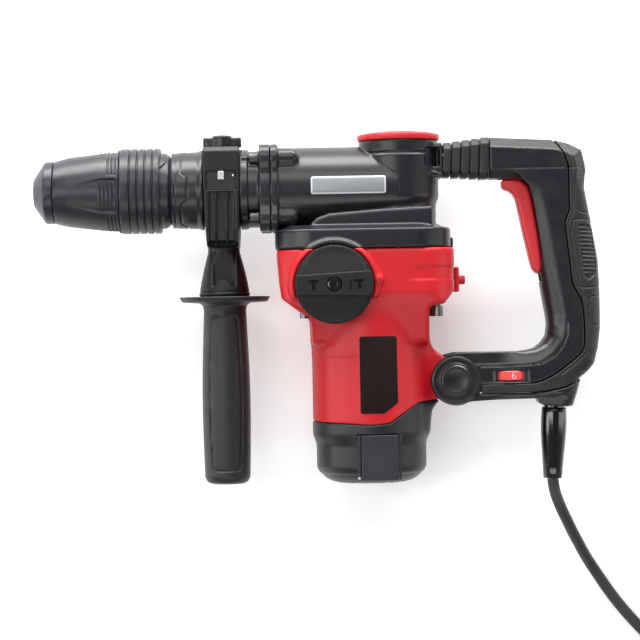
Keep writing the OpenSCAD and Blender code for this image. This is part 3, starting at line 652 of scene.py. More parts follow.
# The route from the strain relief to the coil and from the coil to the plug, in frame millimetres
CORD_ROUTE = [(167.3, -125.5, 46), (168, -131, 46), (169, -136, 46), (171, -142, 45), (174, -149, 42),
              (178, -157, 37), (182, -165, 31), (187, -174, 24), (192, -183, 17), (197, -191, 11),
              (203, -200, 7), (209, -209, 5), (217, -220, 4.2), (226, -231, 4.1), (236, -242, 4.1),
              (247, -253, 4.1), (259, -263, 4.1), (272, -271, 4.1), (286, -276, 4.1), (302, -277.4, 4.1)]
TAIL_ROUTE = [(354.6, -224.8, 28.7), (354.6, -212, 28.2), (354.6, -198, 25), (354.6, -182, 20),
              (354.6, -168, 18.5)]


def coil_centre():
    """The middle of the CAD coil in plan, in metres."""
    low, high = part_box("cord_coil")
    return (low.x + high.x) / 2, (low.y + high.y) / 2


def coil_slot(turn):
    """Radius and height, in millimetres, of one of the coil's turns: in and out, layer on layer."""
    layer, place = divmod(turn, COLUMNS)
    column = place if layer % 2 else COLUMNS - 1 - place
    return COIL_MID_R + (column - (COLUMNS - 1) / 2) * CORD_D, CORD_D * (layer + 0.5)


def coil_points():
    """The coil's turns: each keeps its slot, then moves to the next while the slot is free."""
    centre_x, centre_y = coil_centre()
    period = 360.0 - SHIFT
    points = []
    steps = int(LAST_TURN_END / COIL_STEP)
    for i in range(1, steps):
        wound = i * COIL_STEP
        turn = min(int((wound + LEAD) // period), COLUMNS * LAYERS - 1)
        t = min(1.0, (wound + LEAD - turn * period) / (SHIFT + 2 * LEAD)) if turn else 1.0
        t = t * t * (3 - 2 * t)
        before, after = coil_slot(max(turn - 1, 0)), coil_slot(turn)
        radius, height = (p + t * (q - p) for p, q in zip(before, after))
        angle = math.radians(wound - 90.0)
        points.append((centre_x + radius * MM * math.cos(angle),
                       centre_y + radius * MM * math.sin(angle), height * MM))
    return points


def make_cord():
    """The cord as one curve: its route, its coil and its tail."""
    points = [tuple(c * MM for c in p) for p in CORD_ROUTE] + coil_points()
    points += [tuple(c * MM for c in p) for p in TAIL_ROUTE]
    curve = bpy.data.curves.new("flex", "CURVE")
    curve.dimensions = "3D"
    curve.bevel_depth, curve.bevel_resolution = CORD_D / 2 * MM, 5
    curve.resolution_u, curve.use_fill_caps = 4, True
    spline = curve.splines.new("BEZIER")
    spline.bezier_points.add(len(points) - 1)
    for point, place in zip(spline.bezier_points, points):
        point.co = place
        point.handle_left_type = point.handle_right_type = "AUTO"
    curve.materials.append(CORD_RUBBER)
    flex = bpy.data.objects.new("flex", curve)
    bpy.context.scene.collection.objects.link(flex)
    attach(flex, "rear_handle")
    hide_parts("cord", "cord_tail", "cord_coil")
    return flex


def make_coil_tie():
    """A rubber strap round the coil's bundle."""
    centre_x, centre_y = coil_centre()
    half_w, high = COLUMNS * CORD_D / 2 + 0.9, LAYERS * CORD_D + 1.0
    inner = box_outline((-half_w, 0.4), (half_w, high), 3.6)
    mesh = bpy.data.meshes.new("coil_tie")
    bm = bmesh.new()
    rings = []
    thick, width = 1.2, 9.0
    angle = math.radians(140)
    out = Vector((math.cos(angle), math.sin(angle), 0))
    side = Vector((-math.sin(angle), math.cos(angle), 0))
    origin = Vector((centre_x, centre_y, 0)) + out * COIL_MID_R * MM
    for grow, shift in ((0, -1), (0, 1), (thick, 1), (thick, -1)):
        ring = []
        for u, v in inner:
            scale_u = u + math.copysign(grow, u)
            scale_v = max(0.3, v + (grow if v > high / 2 else -grow * 0.2))
            ring.append(bm.verts.new(origin + out * scale_u * MM + Vector((0, 0, scale_v * MM))
                                     + side * shift * width / 2 * MM))
        rings.append(ring)
    for first, second in zip(rings, rings[1:] + rings[:1]):
        for i in range(len(inner)):
            j = (i + 1) % len(inner)
            bm.faces.new((first[i], first[j], second[j], second[i]))
    bmesh.ops.recalc_face_normals(bm, faces=bm.faces)
    bm.to_mesh(mesh)
    bm.free()
    tie = new_piece("coil_tie", tidy_mesh(mesh), GLOSS_BLACK, "rear_handle")
    bevel = tie.modifiers.new("bevel", "BEVEL")
    bevel.width, bevel.segments, bevel.limit_method = 0.0003, 2, "ANGLE"
    return tie


def make_plug():
    """Moulded rubber plug: ribbed bend protector, waisted grip and two round pins."""
    low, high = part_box("plug")
    x, z = (low.x + high.x) / 2, (low.z + high.z) / 2
    centre = ((x - DATUM.x) / MM, (z - DATUM.z) / MM)
    start = (low.y - DATUM.y) / MM
    ribs = []
    for i in range(5):
        at, r = 3 + i * 5.4, 5.3 + i * 0.42
        ribs += [(at, r - 0.1), (at + 0.5, r + 0.5), (at + 3.2, r + 0.7), (at + 3.7, r - 0.4)]
    body = [(0, 0), (0, 5.1)] + ribs + [(32, 8.2), (36, 10.5), (44, 13), (52, 15.2), (56, 18.1), (58, 18.4),
            (66, 18.4), (67.6, 17.6), (69.9, 16.8), (70, 0)]
    points = [(start + a, r) for a, r in filleted(body, 0.7, 3)]
    plug = lathe("plug_body", points, 1, centre, CORD_RUBBER, "rear_handle", "plug", segments=72, sharp=50)
    pins = []
    for side in (-1, 1):
        pin = [(69, 0), (69, 2.35), (87.6, 2.35), (88.6, 1.9), (89, 1.0), (89, 0)]
        pins.append(lathe(f"plug_pin_{'left' if side < 0 else 'right'}",
                          [(start + a, r) for a, r in pin], 1,
                          (centre[0] + side * 9.5, centre[1]), ZINC, "rear_handle", segments=32))
        sleeve = [(69, 0), (69, 2.4), (79, 2.4), (79, 0)]
        pins.append(lathe(f"plug_pin_sleeve_{'left' if side < 0 else 'right'}",
                          [(start + a, r) for a, r in sleeve], 1,
                          (centre[0] + side * 9.5, centre[1]), GLOSS_BLACK, "rear_handle", segments=32))
    return [plug, *pins]


flex = make_cord()
cord_pieces = make_plug() + [make_coil_tie()]

# ---- shapes shared by the pieces ------------------------------------------------------------


def disc(u, v, centre, radius):
    """Distance from a circle's rim, negative inside."""
    return np.hypot(u - centre[0], v - centre[1]) - radius


def rounded(u, v, low, high, radius):
    """Distance from a rectangle with rounded corners."""
    a = abs(u - (low[0] + high[0]) / 2) - (high[0] - low[0]) / 2 + radius
    b = abs(v - (low[1] + high[1]) / 2) - (high[1] - low[1]) / 2 + radius
    return np.hypot(np.maximum(a, 0), np.maximum(b, 0)) + np.minimum(np.maximum(a, b), 0) - radius


def brick(block, low, high, radius=0.0):
    """Distance from a box whose edges are rounded by radius."""
    flat = rounded(block.x, block.y, low[:2], high[:2], radius)
    return slab(flat, block.z, low[2], high[2], radius)


def stroke(points, u, v):
    """Distance from an open line."""
    u, v = np.broadcast_arrays(u, v)
    best = np.full(u.shape, 1e12)
    for (ax, ay), (bx, by) in zip(points, points[1:]):
        ex, ey = bx - ax, by - ay
        t = np.clip(((u - ax) * ex + (v - ay) * ey) / (ex * ex + ey * ey), 0, 1)
        best = np.minimum(best, (u - ax - t * ex) ** 2 + (v - ay - t * ey) ** 2)
    return np.sqrt(best)


def crease(distance, width, depth):
    """A round-bottomed groove along the place where distance is 0; a ridge if depth is negative."""
    t = np.clip(1 - abs(distance) / (width / 2), 0, 1)
    return depth * t * t * (3 - 2 * t)


def ramped(value, low, high):
    """Goes smoothly from 0 at low to 1 at high."""
    t = np.clip((value - low) / (high - low), 0, 1)
    return t * t * (3 - 2 * t)


def two_circles(first, r1, second, r2, steps=40):
    """The outline of a belt round two circles."""
    dx, dy = second[0] - first[0], second[1] - first[1]
    heading, open_by = math.atan2(dy, dx), math.acos((r1 - r2) / math.hypot(dx, dy))
    points = []
    for k in range(steps + 1):
        a = heading + open_by + (2 * math.pi - 2 * open_by) * k / steps
        points.append((first[0] + r1 * math.cos(a), first[1] + r1 * math.sin(a)))
    for k in range(9):
        a = heading - open_by + 2 * open_by * k / 8
        points.append((second[0] + r2 * math.cos(a), second[1] + r2 * math.sin(a)))
    return points


# ---- housing --------------------------------------------------------------------------------

CRANK_X, PIVOT, KNOB = 262.5, (300.3, -139.6), (214.6, -70.0)
MOTOR_X, MOTOR_R, WALL = 239.5, 42.0, 3.5
BARREL_R, BOLT_AT, HALF_Z = 29.4, 21.0, 46.0
BASE_FRONT, BASE_BACK, TUB_BACK, BASE_CORNER = 173.0, 297.8, 301.0, 26.0
BASE_TOP, BASE_BOTTOM = -30.6, -44.5
TUB_PROFILE = [(173, -44.5), (175.4, -68.5), (176.9, -79.2), (189.1, -88.5), (196, -93.6), (198.4, -98.6),
               (198.4, -110), (281.5, -110), (281.8, -96.8), (291, -86), (300.5, -74.8), (301, -44.5)]
CAP_LINE = [(190, -165.7), (205, -167.6), (240, -169.4), (252, -168.4), (273, -154.5), (288, -152.8),
            (310, -152.8), (310, -220), (190, -220)]
KNOB_RING = two_circles(KNOB, 32.2, (244.4, -66.6), 4.6)


def bolt_places():
    """The four flange bolts, as (y, z)."""
    return [(y, z) for y in (-BOLT_AT, BOLT_AT) for z in (-BOLT_AT, BOLT_AT)]


def base_plan(b, back, inset):
    """Distance from the base's rounded rectangle, drawn in by inset."""
    return rounded(b.x, b.z, (BASE_FRONT + inset, -HALF_Z + inset), (back - inset, HALF_Z - inset),
                   BASE_CORNER - inset)


def base_screw_places():
    """The four housing screws, as (x, z)."""
    return [(x, z) for x in (193.4, 287.6) for z in (-33, 33)]


def flange_outline(b):
    """Distance from the flange's outline: a disc with a lobe at each bolt, cut flat at its sides."""
    flat = np.hypot(b.y, b.z) - 30.4
    for y, z in bolt_places():
        flat = join(flat, disc(b.y, b.z, (y, z), 10.0), 5.0)
    return np.maximum(flat, np.maximum(abs(b.y), abs(b.z)) - 31.0)


def make_gear_housing():
    """Cast gear case: barrel, bolt bosses, crank case, pedestal and the skirt that meets the motor."""
    b = Block((168, -46, -48), (303, 35, 50.5), 0.8)
    barrel = slab(np.hypot(b.y, b.z) - BARREL_R, b.x, 171, 262, 1.0)
    case = b.turned([(-32, 0), (-32, 26.2), (-16, 26.2), (-12.5, 26.6), (-9, 28.0), (-7, 28.4),
                     (22.2, 28.4), (22.8, 27.5),
                     (24.0, 27.5), (24.6, 28.4), (32.6, 28.4), (33, 28), (33, 0)], 1, (CRANK_X, 0))
    body = join(barrel, case, 0.7)
    flange = slab(flange_outline(b), b.x, 170.5, 175.6, 0.8)
    body = join(body, flange, 2.0)
    for y, z in bolt_places():
        boss = slab(disc(b.y, b.z, (y, z), 6.7), b.x, 171, 190.5, 5.2)
        body = join(body, boss, 2.6)
    skirt = outline(filleted([(196, -33), (196, -29.5), (203, -22.4), (212, -19.4), (250, -16.6),
                              (284, -15.2),
                              (285, -16.2), (285, -33)], 1.5, 3), b.x, b.y)
    pedestal = slab(skirt, b.z, -36, 36, 2.4)
    body = join(body, pedestal, 1.2)
    upper = base_plan(b, BASE_BACK, 1.6) + 2.4 * np.maximum(0, b.y + 31.0)
    upper = common(0.42 * upper, abs(b.y + 33.0) - 5.4 + 0 * upper, 0.5)
    body = join(body, upper, 0.8)
    base = slab(base_plan(b, BASE_BACK, 0), b.y, BASE_BOTTOM, BASE_TOP, 1.6)
    body = join(body, base, 0.8)
    ring = slab(outline(KNOB_RING, b.x, b.y), b.z, 36, 48.5, 1.8)
    ring = common(ring, BASE_BOTTOM - b.y + 0 * ring, 0.0)
    body = join(body, ring, 2.2)
    bracket = brick(b, (268, 5.6, -15.5), (293.6, 30.6, 15.5), 1.6)
    body = join(body, bracket, 1.5)
    tab = brick(b, (288, BASE_BOTTOM, -8), (300.5, -37, 8), 1.2)
    body = join(body, tab, 0.8)
    for low, high in ((6.4, 24), (-24, -6.4)):
        pocket = brick(b, (280.8, 13.4, low), (291.6, 27.2, high), 1.6)
        body = cut(body, common(pocket, 27.4 - disc(b.x, b.z, (CRANK_X, 0), 0)), 0.5)
    body = cut(body, slab(np.hypot(b.y - 18, b.z) - 4.4, b.x, 282, 300))
    for level, deep in ((9.2, 0.5), (29.2, 0.4)):
        body = body + crease(b.y - level, 1.8, deep) * (b.x > 284)
    fin = outline([(268, 16), (279.5, 14.2), (291, 8.2), (268, 8.2)], b.x, b.y)
    body = join(body, slab(fin, b.z, -18.5, 18.5, 1.0), 1.2)
    hollow = join(slab(np.hypot(b.y, b.z) - 24, b.x, 150, 215),
                  slab(np.hypot(b.y, b.z) - 27.2, b.x, 214, CRANK_X))
    hollow = join(hollow, slab(disc(b.x, b.z, (CRANK_X, 0), 24.6), b.y, -34, 60))
    hollow = join(hollow, slab(base_plan(b, BASE_BACK, 5.5), b.y, -60, -34))
    hollow = join(hollow, slab(disc(b.x, b.z, (240, 0), 12), b.y, -36, -17))
    hollow = join(hollow, slab(disc(b.x, b.y, KNOB, 28.4), b.z, 30, 60))
    for x, z in base_screw_places():
        post = slab(disc(b.x, b.z, (x, z), 6.2), b.y, -60, -33)
        hollow = cut(hollow, post)
        hollow = join(hollow, slab(disc(b.x, b.z, (x, z), 2.1), b.y, -60, -33.5))
    body = cut(body, hollow)
    for y, z in bolt_places():
        body = cut(body, slab(disc(b.y, b.z, (y, z), 2.6), b.x, 150, 187))
    piece = grown("gear_case", b, body, BLACK_PAINT, "housing", "gear_housing", keep=0.8)


def make_front_barrel():
    """Turned neck with the clamp's seat, and the bolted square flange."""
    b = Block((98, -32.2, -32.2), (171.4, 32.2, 32.2), 0.5)
    outer = [(99.4, 20.9), (99.4, 26.0), (100.4, 27.2), (101.6, 27.2), (102.1, 26.8), (102.8, 26.8),
             (103.3, 27.2), (110, 27.5), (118, 27.6), (120.4, 28.7), (122, 28.8), (122.4, 26.0),
             (148.6, 26.0),
             (149, 28.8), (154.0, 28.6), (154.6, 27.4), (171, 27.4), (171, 20.9)]
    body = b.turned(outer, 0)
    flange = slab(flange_outline(b), b.x, 162.6, 170.3, 0.8)
    body = join(body, flange, 2.2)
    off_middle = np.minimum(abs(b.y), abs(b.z))
    step_at = 106.6 + 4.4 * np.clip((11.2 - off_middle) / 3.4, 0, 1)
    body = body + crease(b.x - step_at, 1.9, 0.75)
    for y, z in bolt_places():
        body = cut(body, slab(disc(b.y, b.z, (y, z), 5.5), b.x, 154.3, 163.0, 0.3), 0.5)
        body = cut(body, slab(disc(b.y, b.z, (y, z), 2.8), b.x, 150, 180))
    body = cut(body, slab(np.hypot(b.y, b.z) - 23.5, b.x, 90, 113))
    body = common(body, 99.4 - b.x + 0 * body)
    body = common(body, b.x - 170.35 + 0 * body)
    piece = grown("barrel_neck", b, body, BLACK_PAINT, "housing", "front_barrel", keep=0.55)


def make_motor_housing():
    """Red nylon motor shell: tub under the gears, motor tube, knob ring and the handle's neck."""
    b = Block((171, -174, -47.5), (316, -43, 50.5), 0.9)
    side = outline(filleted(TUB_PROFILE[:5] + [(197.4, -96), (198.4, -104), (198.4, -112), (281.5, -112),
                                               (281.5, -90), (282.6, -86.2),
                                               (292, -84.6)] + TUB_PROFILE[10:],
                           2.2, 3), b.x, b.y)
    tub = common(side, base_plan(b, TUB_BACK, 0), 3.0)
    tub = common(tub, abs(b.z) - HALF_Z, 0.0)
    tub = common(tub, 0.92 * (abs(b.z) - HALF_Z + 0.42 * np.maximum(0, -b.y - 76)) + 0 * tub, 4.0)
    tube = slab(disc(b.x, b.z, (MOTOR_X, 0), MOTOR_R), b.y, -176, -60)
    body = join(tub, tube, 4.5)
    tilt = outline(filleted([(262, -112), (281, -113.5), (286.5, -118.2), (291.5, -121.5), (300, -127),
                             (300, -152.6), (262, -158)], 4.0, 3), b.x, b.y)
    neck = slab(tilt, b.z, -13, 13, 2.6)
    boss = slab(disc(b.x, b.y, PIVOT, 13), b.z, -13, 13, 0.8)
    body = join(join(body, neck, 7.0), boss, 1.0)
    ring = slab(outline(KNOB_RING, b.x, b.y), b.z, 30, 48.5, 2.2)
    ring = common(common(ring, side - 0.4, 1.2), -86.5 - b.y + 0.25 * abs(b.x - KNOB[0]) + 0 * ring, 2.0)
    body = join(body, ring, 1.6)
    bump = np.sqrt((b.x - 245.6) ** 2 + (b.y + 66.6) ** 2 + (b.z - 45.2) ** 2) - 4.2
    body = join(body, bump, 0.9)
    right = ramped(b.x, 262, 276)
    shelf = ramped(-b.y, 58.0, 59.4) * (1 - ramped(-b.y, 66.4, 67.8))
    body = body + right * (0.55 * shelf)
    body = body + right * crease(b.y + 58.4, 1.8, 0.3) + right * crease(b.y + 67.2, 1.8, 0.3)
    left = 1 - ramped(b.x, 226, 234)
    body = body + left * 0.3 * ramped(-b.y, 119.6, 122.2)
    hollow = outline([(170, -44), (178.5, -76), (192, -86.5), (204, -92), (262, -92), (274, -82),
                      (288.5, -80.4),
                      (297, -73), (303, -44)], b.x, b.y)
    hollow = common(hollow, base_plan(b, TUB_BACK, WALL))
    hollow = np.maximum(hollow, abs(b.z) - HALF_Z + WALL + 0.42 * np.maximum(0, -b.y - 72))
    hollow = join(hollow, slab(disc(b.x, b.z, (MOTOR_X, 0), MOTOR_R - WALL), b.y, -190, -82))
    for x, z in base_screw_places():
        hollow = cut(hollow, slab(disc(b.x, b.z, (x, z), 6.2), b.y, -88, -40))
    body = cut(body, hollow)
    body = cut(body, slab(disc(b.x, b.y, KNOB, 8.4), b.z, 20, 60))
    body = cut(body, slab(disc(b.x, b.y, KNOB, 28.4), b.z, 46.2, 60), 0.4)
    body = cut(body, slab(disc(b.x, b.y, PIVOT, 9.1), b.z, -20, 20), 0.3)
    for x, z in base_screw_places():
        body = cut(body, slab(disc(b.x, b.z, (x, z), 4.8), b.y, -110, -86.2, 0.4), 0.5)
        body = cut(body, slab(disc(b.x, b.z, (x, z), 2.1), b.y, -110, -30))
    body = cut(body, outline(CAP_LINE, b.x, b.y) - 0.15, 0.5)
    body = common(body, b.y + 44.65, 0.5)
    piece = grown("motor_shell", b, body, RED, "housing", "motor_housing", keep=0.55)


make_gear_housing()
make_front_barrel()
make_motor_housing()


# ---- rear handle ----------------------------------------------------------------------------

HANDLE_PROFILE = [(327, 34.3), (371, 31.5), (376, 30.9), (383.2, 28.8), (393.2, 24), (396.2, 10.7),
                  (394.9, -2.7), (398, -20.2), (401.2, -38), (403.8, -55), (404.7, -75), (404.7, -103.6),
                  (402.8, -118), (400, -129), (395.4, -134.6), (390.5, -138.6), (388, -148),
                  (384.3, -159.4),
                  (380.5, -159.8), (362.5, -158.2), (359.8, -156.4), (358.8, -153.4), (330, -153.8),
                  (306, -155), (300.3, -151), (292, -121.5), (300.3, -119.6), (345, -119.6), (351, -119),
                  (357.5, -117.5), (362.5, -113.5), (365.8, -108), (366.7, -101), (366.2, -95), (364, -82),
                  (361.2, -65), (363.8, -54), (361.4, -35), (358.3, -14), (355, -1), (351, 3), (346, 4.3),
                  (327, 4.2)]
COVER_PROFILE = [(373.5, 40), (373.5, 30.9), (377, 27), (381, 20), (383.3, 12.5), (383.5, -19),
                 (380.3, -27),
                 (380.5, -32), (382.5, -50), (384.5, -70), (386.5, -75.5), (390.5, -82), (392.3, -90),
                 (393, -105), (392.5, -117), (390.5, -121.5), (384, -127), (372, -136), (362, -141),
                 (356, -142.4), (318, -142.5), (318, -149.3), (355, -149.2), (366, -148), (378, -145.5),
                 (386, -142), (391.3, -137.9), (410, -137), (410, 40)]
TRIGGER_PROFILE = [(336, 3.9), (336, -1.6), (337.5, -3.2), (340.5, -4.3), (343.5, -6.5), (345.8, -10),
                   (350, -31), (355, -54), (357, -60.5), (359.3, -63.4), (362, -64.3), (364, -62),
                   (364.3, -57), (361.8, -36), (358.3, -14), (355.3, -1.5), (350.5, 3.2), (346, 3.9)]
TRIGGER_SLOT = [(334, 13), (334, -10), (345, -10), (352, -64), (357, -70), (372, -70), (377, -62),
                (368, -20), (360, 13)]
GRIP_EDGE = [(364, -82), (360.8, -64), (357.2, -44), (353.2, -22), (349, -6), (343, 3.0), (327, 4.2)]
HALF_HANDLE, HANDLE_WALL, FORK_HALF, PIVOT_R = 18.0, 3.2, 13.3, 17.8


def handle_form(b):
    """The handle's outer form: flat flanks, chamfered arms and a round grip."""
    long_arm = [(300, 35.4)] + HANDLE_PROFILE[1:-1] + [(300, 4.1)]
    arm = outline(filleted(long_arm, 1.2, 2), b.x, b.y)
    hub_disc = disc(b.x, b.y, PIVOT, PIVOT_R)
    before_grip = HANDLE_PROFILE[1:HANDLE_PROFILE.index(GRIP_EDGE[0])]
    smooth_edge = [(300, 35.4)] + before_grip + GRIP_EDGE[:-1] + [(300, 4.1)]
    depth = np.maximum(-outline(filleted(smooth_edge, 4.0, 4), b.x, b.y), 0.0)
    hub = (HALF_HANDLE - 1.6 + np.clip(-hub_disc, 0, 1.6)) * (hub_disc < 0)
    flat = join(np.maximum(arm, np.where(b.y > -40, 327.3 - b.x, -99.0)), hub_disc, 1.5)
    round_r = 15.5
    t = np.clip(depth / round_r, 0, 1)
    round_z = HALF_HANDLE - round_r * 0.93 * (1 - np.sqrt(np.maximum(1 - (1 - t) ** 2, 0)))
    bevel_z = np.minimum(HALF_HANDLE, 9.5 + depth * 8.5 / 7.0)
    low_z = np.minimum(HALF_HANDLE, 14.2 + depth * 0.38)
    low_z = low_z + (17.2 - low_z) * (1 - ramped(b.x, 320, 350)) * (low_z < 17.2)
    on_grip = ramped(-b.y, -5, 9) * (1 - ramped(-b.y, 106, 124)) * ramped(b.x, 340, 350)
    on_arm = ramped(b.y, -16, -2)
    straight = bevel_z * on_arm + low_z * (1 - on_arm)
    height = round_z * on_grip + straight * (1 - on_grip)
    back = np.clip((depth - 0.0) / 12.0, 0, 1)
    back_z = HALF_HANDLE - 10.0 * (1 - np.sqrt(np.maximum(1 - (1 - back) ** 2, 0)))
    at_back = ramped(b.x, 376, 384) * (1 - ramped(b.y, -8, 10))
    height = height * (1 - at_back) + back_z * at_back
    height = np.maximum(height, hub)
    return np.maximum(flat, 0.8 * (abs(b.z) - height))


TRIGGER_PIN = (343, 9)


def handle_hollow(b):
    """The room inside the rear handle's shells."""
    flat = outline(HANDLE_PROFILE, b.x, b.y) + HANDLE_WALL
    hollow = np.maximum(flat, abs(b.z) - (HALF_HANDLE - HANDLE_WALL))
    depth = np.maximum(-flat, 0.0)
    hollow = np.maximum(hollow, 0.8 * (abs(b.z) - (6.5 + depth * 1.1)))
    hollow = join(hollow, brick(b, (270, -170, -FORK_HALF), (318.5, -105, FORK_HALF)))
    hollow = join(hollow, slab(np.hypot(b.y - 18, b.z) - 5.6, b.x, 318, 342))
    return join(hollow, slab(disc(b.x, b.y, PIVOT, 6.1), b.z, -40, 40))


def make_handle_shell(side):
    """One half of the clamshell handle; side is +1 for the half with the dial."""
    name = "left" if side > 0 else "right"
    b = Block((281, -161.5, -19.0 if side < 0 else 0.0), (406, 36, 0.0 if side < 0 else 19.0), 0.7)
    body = handle_form(b)
    seam = outline(COVER_PROFILE, b.x, b.y)
    body = np.maximum(body, 0.35 - seam)
    body = body + crease(seam - 0.4, 1.6, 0.5)
    lines = crease(stroke([(318, -130.2), (352, -129.4), (362, -128.2), (371, -123.5), (377, -116),
                           (380.2, -108), (380.6, -100)], b.x, b.y), 1.5, 0.5)
    lines = lines + crease(stroke([(319, -144.2), (352, -143.8)], b.x, b.y), 1.3, 0.3)
    arm = crease(b.y - 11.6, 1.5, 0.4) * (b.x > 331) * (b.x < 381)
    frame_lines = sum(crease(stroke([(x, -133.2), (x, -141)], b.x, b.y), 1.6, 0.55) for x in (327.3, 351.9))
    face = abs(b.z) > 8
    body = body + (lines + arm + frame_lines) * face
    gland = crease(stroke([(358.6, -152.6), (372, -151.6), (381, -149.2), (386.8, -145.6)], b.x, b.y),
                   1.7, 0.55)
    body = body + gland
    body = cut(body, slab(disc(b.x, b.y, PIVOT, PIVOT_R + 0.25), b.z, 17.9, 30) if side > 0 else
               slab(disc(b.x, b.y, PIVOT, PIVOT_R + 0.25), b.z, -30, -17.9))
    hollow = handle_hollow(b)
    hollow = join(hollow, slab(outline(TRIGGER_SLOT, b.x, b.y), b.z, -9.1, 9.1))
    u = (b.x - 371.4) * math.cos(math.radians(2)) - (b.y + 150) * math.sin(math.radians(2))
    hollow = join(hollow, slab(np.hypot(u, b.z) - 8.1, b.y, -170, -146))
    if side > 0:
        hollow = join(hollow, brick(b, (330.2, -140.4, 8), (348.8, -133.2, 30), 0.3))
        dial_pocket = slab(np.hypot(b.x - 339.4, b.z - 5.5) - 14.5, b.y, -140.6, -132.8)
        hollow = join(hollow, dial_pocket)
    hollow = cut(hollow, slab(disc(b.x, b.y, TRIGGER_PIN, 2), b.z, -20, 20))
    body = cut(body, hollow)
    body = common(body, (0.12 - side * b.z) + 0 * body, 0.0)
    piece = grown(f"handle_{name}", b, body, BLACK_NYLON, "rear_handle", f"handle_shell_{name}", keep=0.75)


def make_grip_cover():
    """Soft cover along the back of the grip, with its ladder of ribs and two framed panels."""
    b = Block((317, -151, -18.6), (406, 34.5, 18.6), 0.56)
    form = handle_form(b)
    seam = outline(filleted(COVER_PROFILE, 1.5, 2), b.x, b.y)
    body = common(form, seam + 0.25, 0.7)
    face = ramped(abs(b.z), 6, 9)
    carve = crease(seam + 2.5, 1.6, 0.6) * (b.y > -137) * (b.y < 31)
    ledge = crease(b.y - 11.2, 1.7, 0.5) * (b.x > 383)
    upper = [(399, 5.5), (389.5, 4.6), (387.6, 2.6), (387.2, -14), (388.4, -18.4), (391.5, -20.6),
             (402, -22.2)]
    border = filleted([(385.2, -26), (397.5, -26), (399.8, -30.2), (404.2, -52), (405.6, -74.6),
                       (390.2, -74.6),
                       (387, -60), (384.4, -36)], 2.2, 3)
    lower = [(410, -81), (398.4, -81), (396, -83.6), (396, -99), (397.8, -101.6), (410, -102.4)]
    carve = carve + crease(stroke(upper, b.x, b.y), 1.7, 0.8) + crease(stroke(lower, b.x, b.y), 1.7, 0.8)
    carve = carve + crease(outline(border, b.x, b.y), 1.6, 0.75) + ledge
    rails = filleted([(388.6, -29), (397, -29), (399.4, -33), (402.6, -60.5), (401, -66.5), (396.6, -70.4),
                      (392.6, -67.6), (391.6, -58)], 1.2, 2)
    inner = outline(rails, b.x, b.y)
    tilt = b.y + 0.06 * (b.x - 395)
    rung = abs((tilt + 29.6) / 2.9 - np.round((tilt + 29.6) / 2.9)) * 2.9
    rungs = np.clip(1 - rung / 0.95, 0, 1) * (inner < -0.6) * (b.y < -30.2) * (b.y > -64.5)
    carve = carve + 0.8 * ramped(-inner, 0.2, 1.0) - 1.0 * rungs - crease(inner, 1.5, 0.3)
    body = body + carve * face
    body = cut(body, handle_hollow(b))
    piece = grown("grip_cover", b, body, RUBBER, "rear_handle", "rear_grip_cover", keep=0.7)


def make_trigger():
    """Long paddle with a rolled front edge and a heel under the arm."""
    b = Block((334, -66.5, -9.2), (366.5, 13, 9.2), 0.6)
    flat = outline(filleted(TRIGGER_PROFILE, 2.0, 3), b.x, b.y)
    body = slab(flat, b.z, -8.5, 8.5, 2.6)
    dish = ramped(-b.y, 12, 24) * (1 - ramped(-b.y, 50, 60)) * 0.5 * (1 - ramped(abs(b.z), 4, 7.5))
    body = body + dish
    lever = slab(outline([(338, 2), (350, 2), (349, 12), (337, 12)], b.x, b.y), b.z, -6, 6, 1.0)
    body = join(body, lever, 0.6)
    body = cut(body, slab(disc(b.x, b.y, (343, 9), 2.2), b.z, -20, 20))
    piece = grown("trigger_paddle", b, body, TRIGGER_RED, "trigger", "trigger", keep=0.6)


def make_bellows():
    """Rubber boot between housing and handle: five stepped folds."""
    b = Block((292.6, 2, -17), (329, 37, 17), 0.62)
    body = np.full((1, 1, 1), 1e3)
    for i in range(5):
        low, high, half = 6 - 0.42 * i, 30.8 + 0.82 * i, 14.5 + 0.28 * i
        start = 293.9 + i * 6.6
        chamfered = [(low + 4, -half), (high - 4.5, -half), (high, -half + 6), (high, half - 6),
                     (high - 4.5, half), (low + 4, half), (low, half - 5), (low, -half + 5)]
        lean = b.x - 0.05 * (b.y - 18)
        fold = slab(outline(filleted(chamfered, 1.0, 2), b.y, b.z), lean, start, start + 5.5, 0.5)
        body = join(body, fold)
        neck = slab(rounded(b.y, b.z, (low + 2.1, -half + 2.1), (high - 2.1, half - 2.1), 5), b.x, start,
                    start + 7.5 if i < 4 else 327.6)
        body = join(body, neck, 0.5)
    last = slab(rounded(b.y, b.z, (4.6, -15.4), (34.0, 15.4), 5), b.x, 325.6, 327.1, 0.2)
    body = join(body, last, 0.3)
    body = cut(body, slab(rounded(b.y, b.z, (8.6, -11.4), (28.2, 11.4), 3), b.x, 280, 340))
    piece = grown("boot", b, body, RUBBER, None, "bellows", keep=0.7)
    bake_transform(piece)


def make_flexing_springs():
    """The damping spring and the sleeve's spring, copied from their CAD nodes, which are hidden."""
    for source, first, second in (("handle_spring", "housing", "rear_handle"),
                                  ("sleeve_spring", "chuck_sleeve", "spindle")):
        piece = new_piece(f"flexing_{source}", NODES[source].data.copy(), None, None, source)
        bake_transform(piece)


